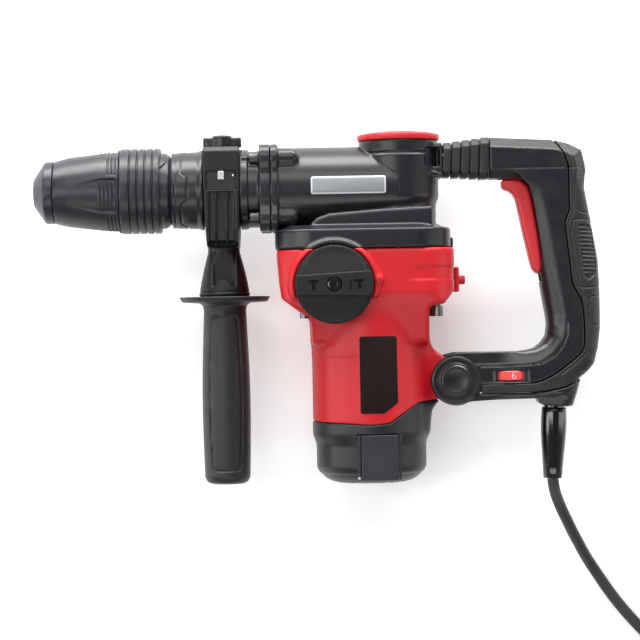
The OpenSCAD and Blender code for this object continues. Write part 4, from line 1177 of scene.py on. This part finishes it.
def make_pivot_caps():
    """Round covers over the damping pivot, with a ring and a raised middle."""
    for side, name in ((1, "left"), (-1, "right")):
        z = HALF_HANDLE
        rise = [(z, 0), (z, 17.6), (z + 1.5, 17.8), (z + 2.3, 17.2), (z + 2.6, 16.2), (z + 2.55, 14.9),
                (z + 1.5, 14.1), (z + 1.5, 13.2), (z + 2.3, 12.2), (z + 2.4, 11.2), (z + 3.2, 10.4),
                (z + 3.4, 9.4), (z + 3.3, 8.2), (z + 2.7, 7.0), (z + 2.6, 0)]
        points = [(side * a, r) for a, r in filleted(rise[:-1], 0.35, 3)[:-1]] + [(side * rise[-1][0], 0)]
        points[0] = (side * z, 0)
        cap = lathe(f"pivot_cap_{name}", points, 2, PIVOT, BLACK_NYLON, "rear_handle", segments=96,
                    sharp=60)
        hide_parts("pivot_caps")
    pin = lathe("pivot_pin", [(-18, 0), (-18, 5.9), (18, 5.9), (18, 0)], 2, PIVOT, STEEL_Y, "rear_handle",
                segments=48)


def make_dial():
    """Speed wheel: knurled rim, plain band for the figure."""
    x, z, low, high, r = 339.4, 5.5, -140.0, -133.4, 13.9
    mesh = bpy.data.meshes.new("dial_wheel")
    bm = bmesh.new()
    teeth, ring_at = 66, (low, low + 0.5, high - 0.5, high)
    rings = []
    for k, y in enumerate(ring_at):
        ring = []
        for i in range(teeth * 4):
            a = 2 * math.pi * i / (teeth * 4)
            toward = math.degrees(math.atan2(math.sin(a - math.pi / 2), math.cos(a - math.pi / 2)))
            smooth_band = -24 < toward < 14
            notch = 0.0 if smooth_band else (0.32 if i % 4 in (0, 1) else 0.0)
            rr = r - (0.45 if k in (0, 3) else 0.0) - notch
            ring.append(bm.verts.new(spot(x + rr * math.cos(a), y, z + rr * math.sin(a))))
        rings.append(ring)
    n = teeth * 4
    for first, second in zip(rings, rings[1:]):
        for i in range(n):
            bm.faces.new((first[i], first[(i + 1) % n], second[(i + 1) % n], second[i]))
    for ring, y in ((rings[0], low), (rings[-1], high)):
        centre = bm.verts.new(spot(x, y, z))
        for i in range(n):
            bm.faces.new((ring[i], ring[(i + 1) % n], centre))
    bmesh.ops.recalc_face_normals(bm, faces=bm.faces)
    bm.to_mesh(mesh)
    bm.free()
    dial = new_piece("dial_wheel", tidy_mesh(mesh, 30), DIAL_RED, "speed_dial", "speed_dial")
    hub = lathe("dial_hub", [(-141.8, 0), (-141.8, 2.4), (-131.6, 2.4), (-131.6, 0)], 1, (x, z), DIAL_RED,
                "speed_dial", segments=32)
    figure = [(1.2, 1.9), (0.4, 2.15), (-0.5, 1.9), (-1.1, 1.1), (-1.3, -0.1), (-1.25, -1.1), (-0.8, -1.9),
              (0.0, -2.2), (0.8, -1.9), (1.25, -1.15), (1.1, -0.35), (0.5, 0.1), (-0.4, 0.05),
              (-1.05, -0.5)]
    raised_stroke("dial_figure", [(341.6 + u, -136.8 + v) for u, v in figure], 0.42, 0.16,
                  lambda px, py: z + math.sqrt(r * r - (px - x) ** 2), FIGURE_WHITE, "speed_dial")


def raised_stroke(name, points, width, high, ground, material, body):
    """A thin raised line along points, standing on ground(x, y)."""
    mesh = bpy.data.meshes.new(name)
    bm = bmesh.new()
    rings = []
    for i, (px, py) in enumerate(points):
        ax, ay = points[max(i - 1, 0)]
        bx, by = points[min(i + 1, len(points) - 1)]
        d = math.hypot(bx - ax, by - ay)
        nx, ny = -(by - ay) / d * width / 2, (bx - ax) / d * width / 2
        z = ground(px, py)
        rings.append([bm.verts.new(spot(px + nx, py + ny, z - 0.1)),
                      bm.verts.new(spot(px + nx, py + ny, z + high)),
                      bm.verts.new(spot(px - nx, py - ny, z + high)),
                      bm.verts.new(spot(px - nx, py - ny, z - 0.1))])
    for first, second in zip(rings, rings[1:]):
        for i in range(4):
            j = (i + 1) % 4
            bm.faces.new((first[i], first[j], second[j], second[i]))
    bm.faces.new(rings[0])
    bm.faces.new(rings[-1])
    bmesh.ops.recalc_face_normals(bm, faces=bm.faces)
    bm.to_mesh(mesh)
    bm.free()
    piece = new_piece(name, tidy_mesh(mesh, 40), material, body)
    return piece


def make_strain_relief():
    """Glossy cord guard: swells below the gland, then tapers to the cord."""
    tilt = math.radians(-2.04)
    rise = [(-53.3, 4.2), (-53.3, 6.4), (-52.9, 6.9), (-44, 7.4), (-36, 8.0), (-28, 8.7), (-20, 9.2),
            (-12, 9.3), (-6, 9.1), (-2.6, 8.9), (-2.3, 8.5), (-2.3, 7.5), (7.9, 7.5), (7.9, 4.2)]
    piece = lathe("cord_guard", rise, 1, (0.0, 0.0), GLOSS_BLACK, "rear_handle", "strain_relief",
                  segments=72,
                  sharp=50)
    c, s = math.cos(tilt), math.sin(tilt)
    for v in piece.data.vertices:
        p = (Vector(v.co) - DATUM) / MM
        v.co = spot(371.5 + c * p.x - s * p.y, -158 + s * p.x + c * p.y, p.z)


make_handle_shell(1)
make_handle_shell(-1)
make_grip_cover()
make_trigger()
make_bellows()
make_flexing_springs()
make_pivot_caps()
make_dial()
make_strain_relief()


# ---- chuck ----------------------------------------------------------------------------------


def make_dust_cap():
    """Rubber nose of the chuck: flat front, long cone, narrow band."""
    profile = [(0, 5.7), (0, 9.6), (0.25, 10.5), (0.9, 11.5), (7.4, 20.9), (8.1, 21.8), (9.0, 22.3),
               (10.4, 22.45), (14.0, 22.45), (14.5, 22.1), (14.6, 21.4), (14.6, 12), (7.2, 12), (7.0, 11.6),
               (7.0, 5.7)]
    piece = lathe("nose_cap", filleted(profile, 0.35, 3), 0, (0.0, 0.0), CAP_RUBBER, "spindle",
                  "dust_cap", segments=128, sharp=55)


SLEEVE_TURN = math.radians(8.4)


def make_locking_sleeve():
    """Tapered sleeve with four long wedge recesses, ribbed inside and grooved between."""
    b = Block((13.5, -30.8, -30.8), (63.6, 30.8, 30.8), 0.5)
    body = b.turned([(14.9, 0), (14.9, 21.9), (15.3, 22.4), (17.5, 23.1), (25, 24.9), (35, 26.7),
                     (45, 28.6), (54, 29.8), (61.2, 30.2), (62.2, 29.9), (62.7, 29.2), (62.7, 0)], 0)
    inner = b.turned([(10, 0), (10, 18.6), (14.9, 18.6), (20, 19.6), (34, 22.6), (34, 11), (42, 11),
                      (42, 24.5),
                      (62.7, 26.2), (70, 26.2), (70, 0)], 0)
    angle = np.arctan2(b.y, b.z)
    carve = 0.0
    for i in range(4):
        a = np.angle(np.exp(1j * (angle - (-SLEEVE_TURN + math.pi / 2 * i))))
        across = a * 28.0
        wedge = outline(filleted([(22, -7.4), (49, -12.2), (61.4, -12.2), (61.4, 12.2), (49, 12.2),
                                  (22, 7.4)], 2.0, 3), b.x, across)
        deep = ramped(-wedge, -0.2, 0.9) * 1.9 * np.clip((b.x - 26) / 28, 0, 1)
        carve = carve + deep
        ribs = sum(np.clip(1 - abs(b.x - at) / 0.85, 0, 1) for at in (48.9, 51.7, 54.5, 57.3))
        carve = carve - ribs * 0.8 * ramped(-wedge, 1.2, 2.2)
        land = 1 - ramped(abs(across - 22.0), 7.6, 8.4)
        grooves = sum(crease(b.x - at, 1.7, 1.0) for at in (54.9, 57.5, 60.1))
        carve = carve + grooves * land
    body = cut(body + carve, inner)
    piece = grown("sleeve", b, body, CHUCK_RUBBER, "chuck_sleeve", "locking_sleeve", keep=0.5)


def make_grip_ring():
    """Ridged ring behind the sleeve, wide lands between narrow grooves."""
    r = 30.55
    points = [(62.75, 27.6), (62.75, 29.4), (63.0, 30.1), (63.7, r)]
    for at in (69.4, 74.9, 80.3, 85.7):
        points += [(at - 0.2, r + 0.1), (at + 0.2, r - 0.25), (at + 0.45, r - 1.25), (at + 1.15, r - 1.25),
                   (at + 1.4, r - 0.25), (at + 1.8, r + 0.1)]
    points += [(90.6, r), (91.2, r - 0.35), (91.5, r - 1.0), (91.5, 27.6)]
    piece = lathe("ridged_ring", filleted(points, 0.25, 2), 0, (0.0, 0.0), CHUCK_RUBBER, "chuck_sleeve",
                  "grip_ring",
                  segments=160, sharp=50)


def make_chuck_ring():
    """Collar between chuck and barrel, with four stepped notches."""
    b = Block((75, -28, -28), (99.6, 28, 28), 0.55)
    body = b.turned([(76, 20.1), (76, 26.8), (76.4, 27.0), (94.6, 27.0), (95.6, 26.7), (97.9, 25.2),
                     (98.3, 24.6), (98.3, 20.1)], 0)
    angle, radius = np.arctan2(b.y, b.z), np.hypot(b.y, b.z)
    for i in range(2):
        a = np.angle(np.exp(1j * (angle - math.pi * i)))
        across = a * 26.0
        notch = outline([(90.6, -15.6), (92.2, -16.6), (96.6, -22.0), (100.6, -22.0), (100.6, 22.0),
                         (96.6, 22.0), (92.2, 16.6), (90.6, 15.6)], b.x, across)
        body = cut(body, np.maximum(notch, 25.8 - radius), 0.3)
    piece = grown("collar", b, body, CHUCK_RUBBER, "spindle", "chuck_ring", keep=0.6)
    lip = lathe("felt_lip", [(98.4, 20.15), (98.4, 23.6), (99.2, 24.2), (99.3, 23.6), (99.3, 20.15)], 0,
                (0.0, 0.0),
                CAP_RUBBER, "spindle", segments=96)


# ---- clamp, side handle and wing knob -------------------------------------------------------

SIDE_X = 135.8


def make_side_clamp():
    """Split clamp round the neck, with its nut window, ribbed cheeks and turned skirt."""
    b = Block((116.4, -77, -29.2), (155.2, 30.8, 29.2), 0.6)
    frame_flat = outline(filleted([(-41.6, -19), (-38, -25), (-30, -28.2), (26.5, -28.2), (29.8, -25),
                                   (29.8, 25), (26.5, 28.2), (-30, 28.2), (-38, 25), (-41.6, 19)],
                                  2.0, 3), b.y, b.z)
    body = slab(frame_flat, b.x, 122.5, 148.9, 1.2)
    lower = ramped(-b.y, 0.6, 1.4)
    body = np.maximum(body, (abs(b.x - SIDE_X) - 12.7) * lower - 50 * (1 - lower))
    corner = (abs(b.x - SIDE_X) * 0.78 + b.y * 0.62) - 28.0
    body = common(body, corner + 0 * body, 1.0)
    foot = (abs(b.x - SIDE_X) * 0.8 - b.y * 0.6) - 33.9
    body = common(body, foot + 0 * body, 1.0)
    body = common(body, abs(b.x - SIDE_X) - 12.7 + np.maximum(0,
                                                              -b.y - 2) * 0.035 - 30 * (b.y > -1) + 0 * body)
    face = abs(b.z) > 14
    panel = rounded(b.x, b.y, (126.6, -39.6), (145.0, -2.2), 0.8)
    carve = 1.3 * ramped(-panel, -0.2, 0.7) * face
    for at in (131.5, 139.6):
        half = 0.75 + 0.7 * ramped(b.y, -8.5, -7.5)
        carve = carve - 1.3 * ramped(half - abs(b.x - at), 0, 0.5) * (panel < 0.4) * face
    body = body + carve
    skirt = b.turned(filleted([(-76.6, 0), (-76.6, 17.2), (-76, 18.2), (-74.4, 18.3), (-73.4, 17.9),
                               (-66, 16.6),
                               (-58, 14.9), (-50, 12.8), (-45, 11.5), (-40, 11.3), (-36, 11), (-36, 0)],
                              0.8, 3),
                     1, (SIDE_X, 0))
    dx = abs(b.x - SIDE_X)
    arch = -64.6 - 5.2 * np.clip(dx / 7.2, 0, 1.2) ** 2
    panel_cut = np.maximum(np.maximum(dx - 7.3, arch - b.y), 10.6 - abs(b.z))
    skirt = cut(skirt, panel_cut, 0.9)
    side_groove = stroke([(SIDE_X - 8.2, -40), (SIDE_X - 8.2, -68.6)], b.x, b.y)
    side_groove = np.minimum(side_groove, stroke([(SIDE_X + 8.2, -40), (SIDE_X + 8.2, -68.6)], b.x, b.y))
    skirt = skirt + crease(side_groove, 2.0, 0.6) * (abs(b.z) > 4)
    skirt = skirt + crease(b.y + 73.4, 1.3, 0.6)
    body = join(body, skirt, 0.8)
    body = cut(body, slab(np.hypot(b.y, b.z) - 26.15, b.x, 100, 170))
    body = cut(body, brick(b, (125.2, -1.3, 24), (146.2, 12.3, 40), 0.9), 0.6)
    body = cut(body, brick(b, (125.2, -1.3, -40), (146.2, 12.3, -24), 0.9), 0.6)
    body = cut(body, slab(disc(b.x, b.z, (SIDE_X, 0), 4.25), b.y, -90, -25))
    body = cut(body, slab(disc(b.x, b.z, (SIDE_X, 0), 3.3), b.y, 26, 40))
    piece = grown("clamp", b, body, CLAMP_BLACK, "side_handle", "side_clamp", keep=0.55)
    for side in (-1, 1):
        tag = "front" if side > 0 else "back"
        low, high = sorted((side * 26.2, side * 28.6))
        nut = prism(f"clamp_nut_{tag}", box_outline((133.3, 6.1), (137.8, 12.1), 0.7), low, high, "xy",
                    ZINC,
                    "side_handle", bevel=0.4)
        low, high = sorted((side * 26.2, side * 27.4))
        strip = prism(f"clamp_band_{tag}", box_outline((125.6, -1.0), (145.8, 12.0), 0.5), low, high, "xy",
                      BAND_PAINT, "side_handle", bevel=0.2)
        stud = lathe(f"clamp_stud_{tag}", [(side * 27.2, 0), (side * 27.2, 0.9), (side * 28.2, 0.75),
                                           (side * 28.4, 0)], 2, (144.2, 8.8), ZINC, "side_handle",
                     segments=20)


def make_side_grip():
    """Rubber grip with a hand flange and a long inset panel on each flank."""
    b = Block((101.5, -212.5, -34), (170.2, -76.0, 34), 0.85)
    profile = filleted([(-76.8, 0), (-76.8, 32.6), (-77.2, 32.8), (-80.3, 30.8), (-80.7, 29.5), (-81.0, 24),
                        (-81.3, 18.4), (-83, 16.0), (-87, 15.3), (-100, 15.8), (-125, 16.8), (-145, 17.25),
                        (-165, 17.25), (-190, 16.8), (-206.4, 16.3), (-209.8, 14.6), (-211.3, 11.5),
                        (-211.3, 0)], 0.8, 3)
    body = b.turned(profile, 1, (SIDE_X, 0))
    inset = outline(filleted([(126.8, -91.2), (144.8, -91.2), (146.6, -125), (147.4, -150), (146.6, -180),
                              (145.4, -201.5), (126.2, -201.5), (125, -180), (124.2, -150), (125, -125)],
                             3.0, 4), b.x, b.y)
    body = body + (crease(inset, 2.1, 1.1) + 0.3 * ramped(-inset, 0, 1.0)) * (abs(b.z) > 5)
    body = body + crease(b.y + 84.6, 1.4, 0.3)
    body = cut(body, slab(disc(b.x, b.z, (SIDE_X, 0), 12.5), b.y, -206, -92))
    body = join(body, slab(disc(b.x, b.z, (SIDE_X, 0), 3.95), b.y, -94, -60))
    piece = grown("grip", b, body, RUBBER, "side_grip", "side_grip", keep=0.6)
    stud = lathe("grip_stud", [(-77.5, 0), (-77.5, 3.98), (-33.0, 3.98), (-32.2, 3.2), (-32.2, 0)], 1,
                 (SIDE_X, 0),
                 ZINC, "side_grip", segments=40)


def make_wing_knob():
    """The side handle's wing nut: two wings on a round hub."""
    b = Block((120.6, 26.6, -9), (151, 40, 9), 0.45)
    wings = slab(rounded(b.x, b.z, (122.0, -4.9), (149.7, 4.9), 3.4), b.y, 30.4, 37.8, 1.4)
    hub = slab(disc(b.x, b.z, (SIDE_X, 0), 7.3), b.y, 30.3, 39.2, 1.6)
    dips = 0.25 * ramped(b.y, 33.5, 37.5) * np.exp(-((abs(b.x - SIDE_X) - 9.3) / 2.6) ** 2)
    body = join(wings + dips, hub, 1.0)
    body = body + crease(abs(b.x - SIDE_X) - 4.2, 1.3, 0.35) * (b.y > 34)
    body = join(body, slab(disc(b.x, b.z, (SIDE_X, 0), 3.0), b.y, 27.6, 31))
    piece = grown("wing_nut", b, body, BLACK_NYLON, "wing_knob", "wing_knob", keep=0.6)


# ---- end cap, crank cap, knob, plates and screws --------------------------------------------


def make_end_cap():
    """Bottom cap of the motor: two bands with a waist between, and the tip behind the neck."""
    b = Block((195.5, -212.5, -44), (290, -151.5, 44), 0.8)
    profile = filleted([(-211.5, 0), (-211.5, 23.6), (-210.2, 29.0), (-208.2, 32.6),
                        (-205.0, 36.2, 0.3), (-203.2, 38.0),
                        (-200, 39.4), (-184.4, 39.5), (-182.4, 39.9), (-178.0, 41.5), (-175.6, 41.9),
                        (-150, 41.9), (-150, 0)], 1.6, 3)
    body = b.turned(profile, 1, (MOTOR_X, 0))
    cap = outline(CAP_LINE, b.x, b.y) + 0.15
    body = common(body, cap, 0.6)
    tip = slab(outline(filleted([(262, -160), (273.5, -154.8), (280, -153.4), (287.2, -153.1),
                                 (288.4, -154),
                                 (285.6, -157), (282.4, -161), (281.0, -166), (279.8, -174), (262, -174)],
                                1.2, 3), b.x, b.y), b.z, -15, 15, 6.0)
    body = join(body, tip, 7.0)
    body = common(body, cap, 0.5)
    body = body + crease(b.y + 205.0, 1.4, 0.4)
    for i in range(12):
        a = math.radians(30 * i)
        u = (b.x - MOTOR_X) * math.cos(a) + b.z * math.sin(a)
        v = -(b.x - MOTOR_X) * math.sin(a) + b.z * math.cos(a)
        body = cut(body, slab(rounded(u, v, (19, -1.1), (27.5, 1.1), 1.0), b.y, -215, -206), 0.3)
    for side in (1, -1):
        body = cut(body, brick(b, (228.5, -208.7, min(side * 38.2, side * 60)),
                               (260.3, -176, max(side * 38.2,
                                                                                                side * 60))))
    hollow = slab(disc(b.x, b.z, (MOTOR_X, 0), 35.5), b.y, -203, -150)
    hollow = join(hollow, slab(disc(b.x, b.z, (MOTOR_X, 0), 30), b.y, -208, -200))
    hollow = join(hollow, slab(disc(b.x, b.z, (MOTOR_X, 0), 38.5), b.y, -172, -130))
    ring = slab(abs(np.hypot(b.x - MOTOR_X, b.z) - 12.75) - 1.75, b.y, -210, -189.5)
    hollow = cut(hollow, ring)
    body = cut(body, hollow)
    piece = grown("motor_cap", b, body, END_CAP_BLACK, "housing", "end_cap", keep=0.55)
    for side in (1, -1):
        tag = "front" if side > 0 else "back"
        strips = {"middle": [(231.7, -208.4), (257.7, -208.4), (257.7, -176.6), (231.7, -176.6)],
                  "left": [(229.4, -208.4), (231.1, -208.4), (231.1, -176.6), (228.7, -176.6),
                           (228.7, -184),
                           (229.4, -187.5)],
                  "right": [(258.3, -208.4), (259.6, -208.4), (259.6, -187.5), (260.2, -184),
                            (260.2, -176.6),
                            (258.3, -176.6)]}
        for part, shape in strips.items():
            proud = 0.5 if part == "middle" else 0.0
            low, high = sorted((side * 38.25, side * (42.3 + proud)))
            plate = prism(f"brush_cover_{part}_{tag}", filleted(shape, 0.6, 3), low, high, "xy",
                          END_CAP_BLACK,
                          "housing", bevel=0.7 if part == "middle" else 0.35, segments=4)
            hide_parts("brush_covers")
        dot = lathe(f"brush_screw_{tag}", [(side * 41.8, 0), (side * 41.8, 1.1), (side * 42.9, 1.0),
                                           (side * 42.95, 0.4), (side * 42.6, 0)], 2, (229.9, -206.6), ZINC,
                    "housing", segments=24)


def make_crank_cap():
    """Red lid over the crank: flared rim and a stepped shallow dome."""
    points = [(24.1, 0), (24.1, 21.9), (24.6, 24.3), (33.0, 24.4), (33.05, 28.6), (33.3, 29.2),
              (34.4, 29.55),
              (36.6, 29.6), (37.1, 29.3), (37.4, 28.6), (37.9, 25.8), (38.4, 24.2), (38.7, 22.6),
              (38.9, 19.6),
              (39.4, 16.2), (39.75, 10), (39.8, 0)]
    piece = lathe("crank_lid", points, 1, (CRANK_X, 0.0), RED, "housing", "crank_cap", segments=128,
                  sharp=40)


def make_mode_knob():
    """Round selector with a grip bar across it and sloping flanks to both sides."""
    b = Block((185.5, -99, 31), (243.7, -41, 59), 0.46)
    cx, cy = KNOB
    radius = np.hypot(b.x - cx, b.y - cy)
    disk = slab(radius - 27.6, b.z, 47, 53.2, 1.1)
    bowl = ramped(radius, 26.8, 20) * 0.9
    disk = np.maximum(disk, b.z - 53.2 + bowl * 1.0)
    t = (b.x - 191.0) / 47.0
    upper = (cy + 6.6) + t * 2.6
    lower = (cy - 7.5) - t * 0.9
    across = np.maximum(b.y - upper, lower - b.y)
    bar = np.maximum(across, radius - 26.6)
    top = b.z - 57.75 + 0.0 * b.x
    bar = np.maximum(bar, top)
    bar = np.maximum(bar, 46 - b.z)
    flank_depth = np.clip((abs(b.y - cy) - 7.2) / 18.0, 0, 1)
    slope = 55.2 - 2.6 * flank_depth
    fill = np.maximum(radius - 26.2 + 0.35 * (b.z - 51), b.z - slope)
    fill = np.maximum(fill, 48 - b.z)
    body = join(disk, fill, 1.0)
    edge = 0.25 * crease(across, 1.2, 1.0) * (b.z > 54.5)
    body = join(body, bar + edge, 0.25)
    body = join(body, slab(radius - 8.15, b.z, 32, 48))
    body = cut(body, slab(radius - 5.35, b.z, 50.5, 70), 0.3)
    piece = grown("selector", b, body, KNOB_GREY, "mode_knob", "mode_knob", keep=0.6)
    button = lathe("selector_button", [(54.2, 0), (54.2, 4.9), (57.0, 4.9), (57.45, 4.6), (57.6, 4.0),
                                       (57.45, 2.2),
                                       (57.3, 0)], 2, KNOB, GLOSS_BLACK, "mode_button", "mode_button",
                   segments=64)
    marks = {
        "hammer_head": [(-18.2, 3.2), (-11.2, 3.2), (-11.2, 1.5), (-18.2, 1.5)],
        "hammer_shaft": [(-15.8, 1.6), (-13.6, 1.6), (-13.6, -3.6), (-15.8, -3.6)],
        "drill_head": [(13.6, 3.4), (20.6, 3.4), (20.6, 1.7), (13.6, 1.7)],
        "drill_shaft": [(16.2, 1.8), (18.4, 1.8), (18.4, -3.2), (16.2, -3.2)],
        "drill_tick_a": [(10.6, 2.8), (12.2, 2.8), (12.2, 1.6), (10.6, 1.6)],
        "drill_tick_b": [(10.6, 0.4), (12.2, 0.4), (12.2, -0.8), (10.6, -0.8)],
        "drill_tick_c": [(10.6, -2.0), (12.2, -2.0), (12.2, -3.2), (10.6, -3.2)],
    }
    for tag, shape in marks.items():
        mark = prism(f"mark_{tag}", [(cx + u, cy + v) for u, v in shape], 57.5, 57.97, "xy", MARK_GREY,
                     "mode_knob", bevel=0.0)


def wrapped_plate(name, points, axis, centre, radius, thick, material, body, *replaced):
    """A thin plate bent round a cylinder that runs along axis (0 or 1); points are in x and y."""
    mesh = bpy.data.meshes.new(name)
    bm = bmesh.new()
    bm.faces.new([bm.verts.new(spot(px, py, 0)) for px, py in points])
    across = 1 - axis
    low, high = min(p[across] for p in points), max(p[across] for p in points)
    for at in np.linspace(low, high, 22)[1:-1]:
        place = [0.0, 0.0, 0.0]
        place[across] = float(at)
        bmesh.ops.bisect_plane(bm, geom=bm.verts[:] + bm.edges[:] + bm.faces[:], plane_co=spot(*place),
                               plane_no=tuple(float(k == across) for k in range(3)))
    for v in bm.verts:
        p = (v.co - DATUM) / MM
        v.co = spot(p.x, p.y, math.sqrt(radius * radius - (p[across] - centre) ** 2) - 0.3)
    bmesh.ops.recalc_face_normals(bm, faces=bm.faces)
    if sum(f.normal.z for f in bm.faces) < 0:
        bmesh.ops.reverse_faces(bm, faces=bm.faces)
    bm.to_mesh(mesh)
    bm.free()
    piece = new_piece(name, tidy_mesh(mesh, 30), material, body, *replaced)
    solid = piece.modifiers.new("thickness", "SOLIDIFY")
    solid.thickness, solid.offset = (thick + 0.3) * MM, 1.0
    bevel = piece.modifiers.new("bevel", "BEVEL")
    bevel.width, bevel.segments, bevel.limit_method, bevel.angle_limit = 0.00015, 2, "ANGLE", math.radians(50)
    return piece


def make_plates():
    """Badge on the barrel (plain plate, silver rim) and nameplate on the motor."""
    rim = wrapped_plate("badge_rim", box_outline((199.2, -5.4), (252.4, 6.9), 1.6), 0, 0.0, BARREL_R,
                        0.55, BADGE,
                        "housing", "badge")
    face = wrapped_plate("badge_face", box_outline((200.3, -4.3), (251.3, 5.8), 0.9), 0, 0.0, BARREL_R,
                         0.68,
                         BADGE_FACE, "housing")
    shape = filleted([(231.6, -161.3), (231.6, -106.9), (257.6, -106.9), (257.9, -154.0),
                      (248.4, -161.3)], 1.6, 4)
    label = wrapped_plate("motor_label", shape, 1, MOTOR_X, MOTOR_R, 0.35, LABEL, "housing", "nameplate")


def make_rear_stop():
    """The small red stop behind the motor housing: a plate with a stub."""
    b = Block((300, -77.5, -12.5), (310.5, -57, 12.5), 0.4)
    plate = brick(b, (300.6, -76.2, -11), (304.1, -58.2, 11), 1.1)
    stub = slab(disc(b.y, b.z, (-67.6, 0), 3.2), b.x, 303, 308.9, 0.9)
    body = join(plate, stub, 1.0)
    body = common(body, 301.02 - b.x + 0 * body)
    piece = grown("stop_plate", b, body, RED, "housing", "rear_stop", keep=0.5)


def make_flange_bolts():
    """Socket-head bolts of the barrel flange, on wave washers."""
    for k, (y, z) in enumerate(bolt_places()):
        head = [(157.6, 0), (157.6, 2.1), (155.5, 2.3), (155.3, 3.6), (155.7, 4.15), (160.2, 4.2),
                (160.3, 2.45),
                (184, 2.45), (184, 0)]
        bolt = lathe(f"flange_bolt_{k + 1}", head, 0, (y, z), BLACK_STEEL, "housing", segments=48)
        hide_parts("barrel_screws")
        washer = lathe(f"flange_washer_{k + 1}", [(160.3, 2.65), (160.3, 4.45), (160.6, 4.6), (162.0, 4.6),
                                                  (162.25, 4.45), (162.25, 2.65)], 0, (y, z),
                       BLACK_STEEL, "housing",
                       segments=48)
        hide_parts("lock_washers")


make_dust_cap()
make_locking_sleeve()
make_grip_ring()
make_chuck_ring()
make_side_clamp()
make_side_grip()
make_wing_knob()
make_end_cap()
make_crank_cap()
make_mode_knob()
make_plates()
make_rear_stop()
make_flange_bolts()



# ---- floor and light ------------------------------------------------------------------------


FLOOR_GLOW = 0.28


def make_floor():
    """A pale table, lit a little from below as product tables are."""
    mesh = bpy.data.meshes.new("floor")
    half = 4.0
    mesh.from_pydata([(-half, -half, 0), (half, -half, 0), (half, half, 0), (-half, half, 0)], [],
                     [(0, 1, 2, 3)])
    floor = bpy.data.objects.new("floor", mesh)
    bpy.context.scene.collection.objects.link(floor)
    r = Recipe("pale_floor", (0.9, 0.9, 0.9), 0.8, specular=0.1)
    set_input(r.shader, "Emission Color", (1.0, 1.0, 1.0, 1.0))
    set_input(r.shader, "Emission Strength", FLOOR_GLOW)
    r.vary_color(r.noise(6, 3), (0.88, 0.88, 0.885))
    mesh.materials.append(r.material)


def area_light(name, place, target, size, power, color=(1, 1, 1)):
    """A rectangular light at place, pointed at target."""
    data = bpy.data.lights.new(name, "AREA")
    data.shape, data.size, data.size_y = "RECTANGLE", size[0], size[1]
    data.energy, data.color = power, color
    light = bpy.data.objects.new(name, data)
    bpy.context.scene.collection.objects.link(light)
    light.location = place
    light.rotation_euler = (Vector(target) - Vector(place)).to_track_quat("-Z", "Y").to_euler()


def make_world():
    """Surroundings: a dim ceiling over a bright horizon."""
    world = bpy.data.worlds.new("studio")
    world.use_nodes = True
    tree = world.node_tree
    place = tree.nodes.new("ShaderNodeTexCoord")
    parts = tree.nodes.new("ShaderNodeSeparateXYZ")
    ramp = tree.nodes.new("ShaderNodeMapRange")
    tree.links.new(place.outputs["Generated"], parts.inputs[0])
    tree.links.new(parts.outputs["Z"], ramp.inputs["Value"])
    values = {"From Min": 0.1, "From Max": 0.85, "To Min": WORLD_LOW, "To Max": WORLD_TOP}
    for key, value in values.items():
        set_input(ramp, key, value)
    background = tree.nodes["Background"]
    set_input(background, "Color", (1.0, 1.0, 1.0, 1.0))
    tree.links.new(ramp.outputs["Result"], background.inputs["Strength"])
    bpy.context.scene.world = world


WORLD_LOW, WORLD_TOP = 0.36, 0.14


def make_light():
    """The soft lights round the tool, under the dim ceiling."""
    make_world()
    aim = (0.0, 0.0, DATUM.z)
    area_light("top_softbox", (0.0, 1.45, 0.3), aim, (2.8, 0.7), 88)
    area_light("top_high", (0.0, 1.05, 1.5), aim, (2.2, 0.6), 17)
    area_light("low_high", (0.0, -1.05, 1.5), aim, (2.2, 0.6), 12)
    area_light("left_softbox", (-1.5, -0.1, 0.6), aim, (0.3, 1.5), 7)
    area_light("right_softbox", (1.5, -0.1, 0.6), aim, (0.3, 1.5), 3.5)
    area_light("high_left", (-0.78, 0.1, 1.5), aim, (0.35, 1.2), 7)
    bpy.context.scene.view_settings.view_transform = "Standard"


make_floor()
make_light()
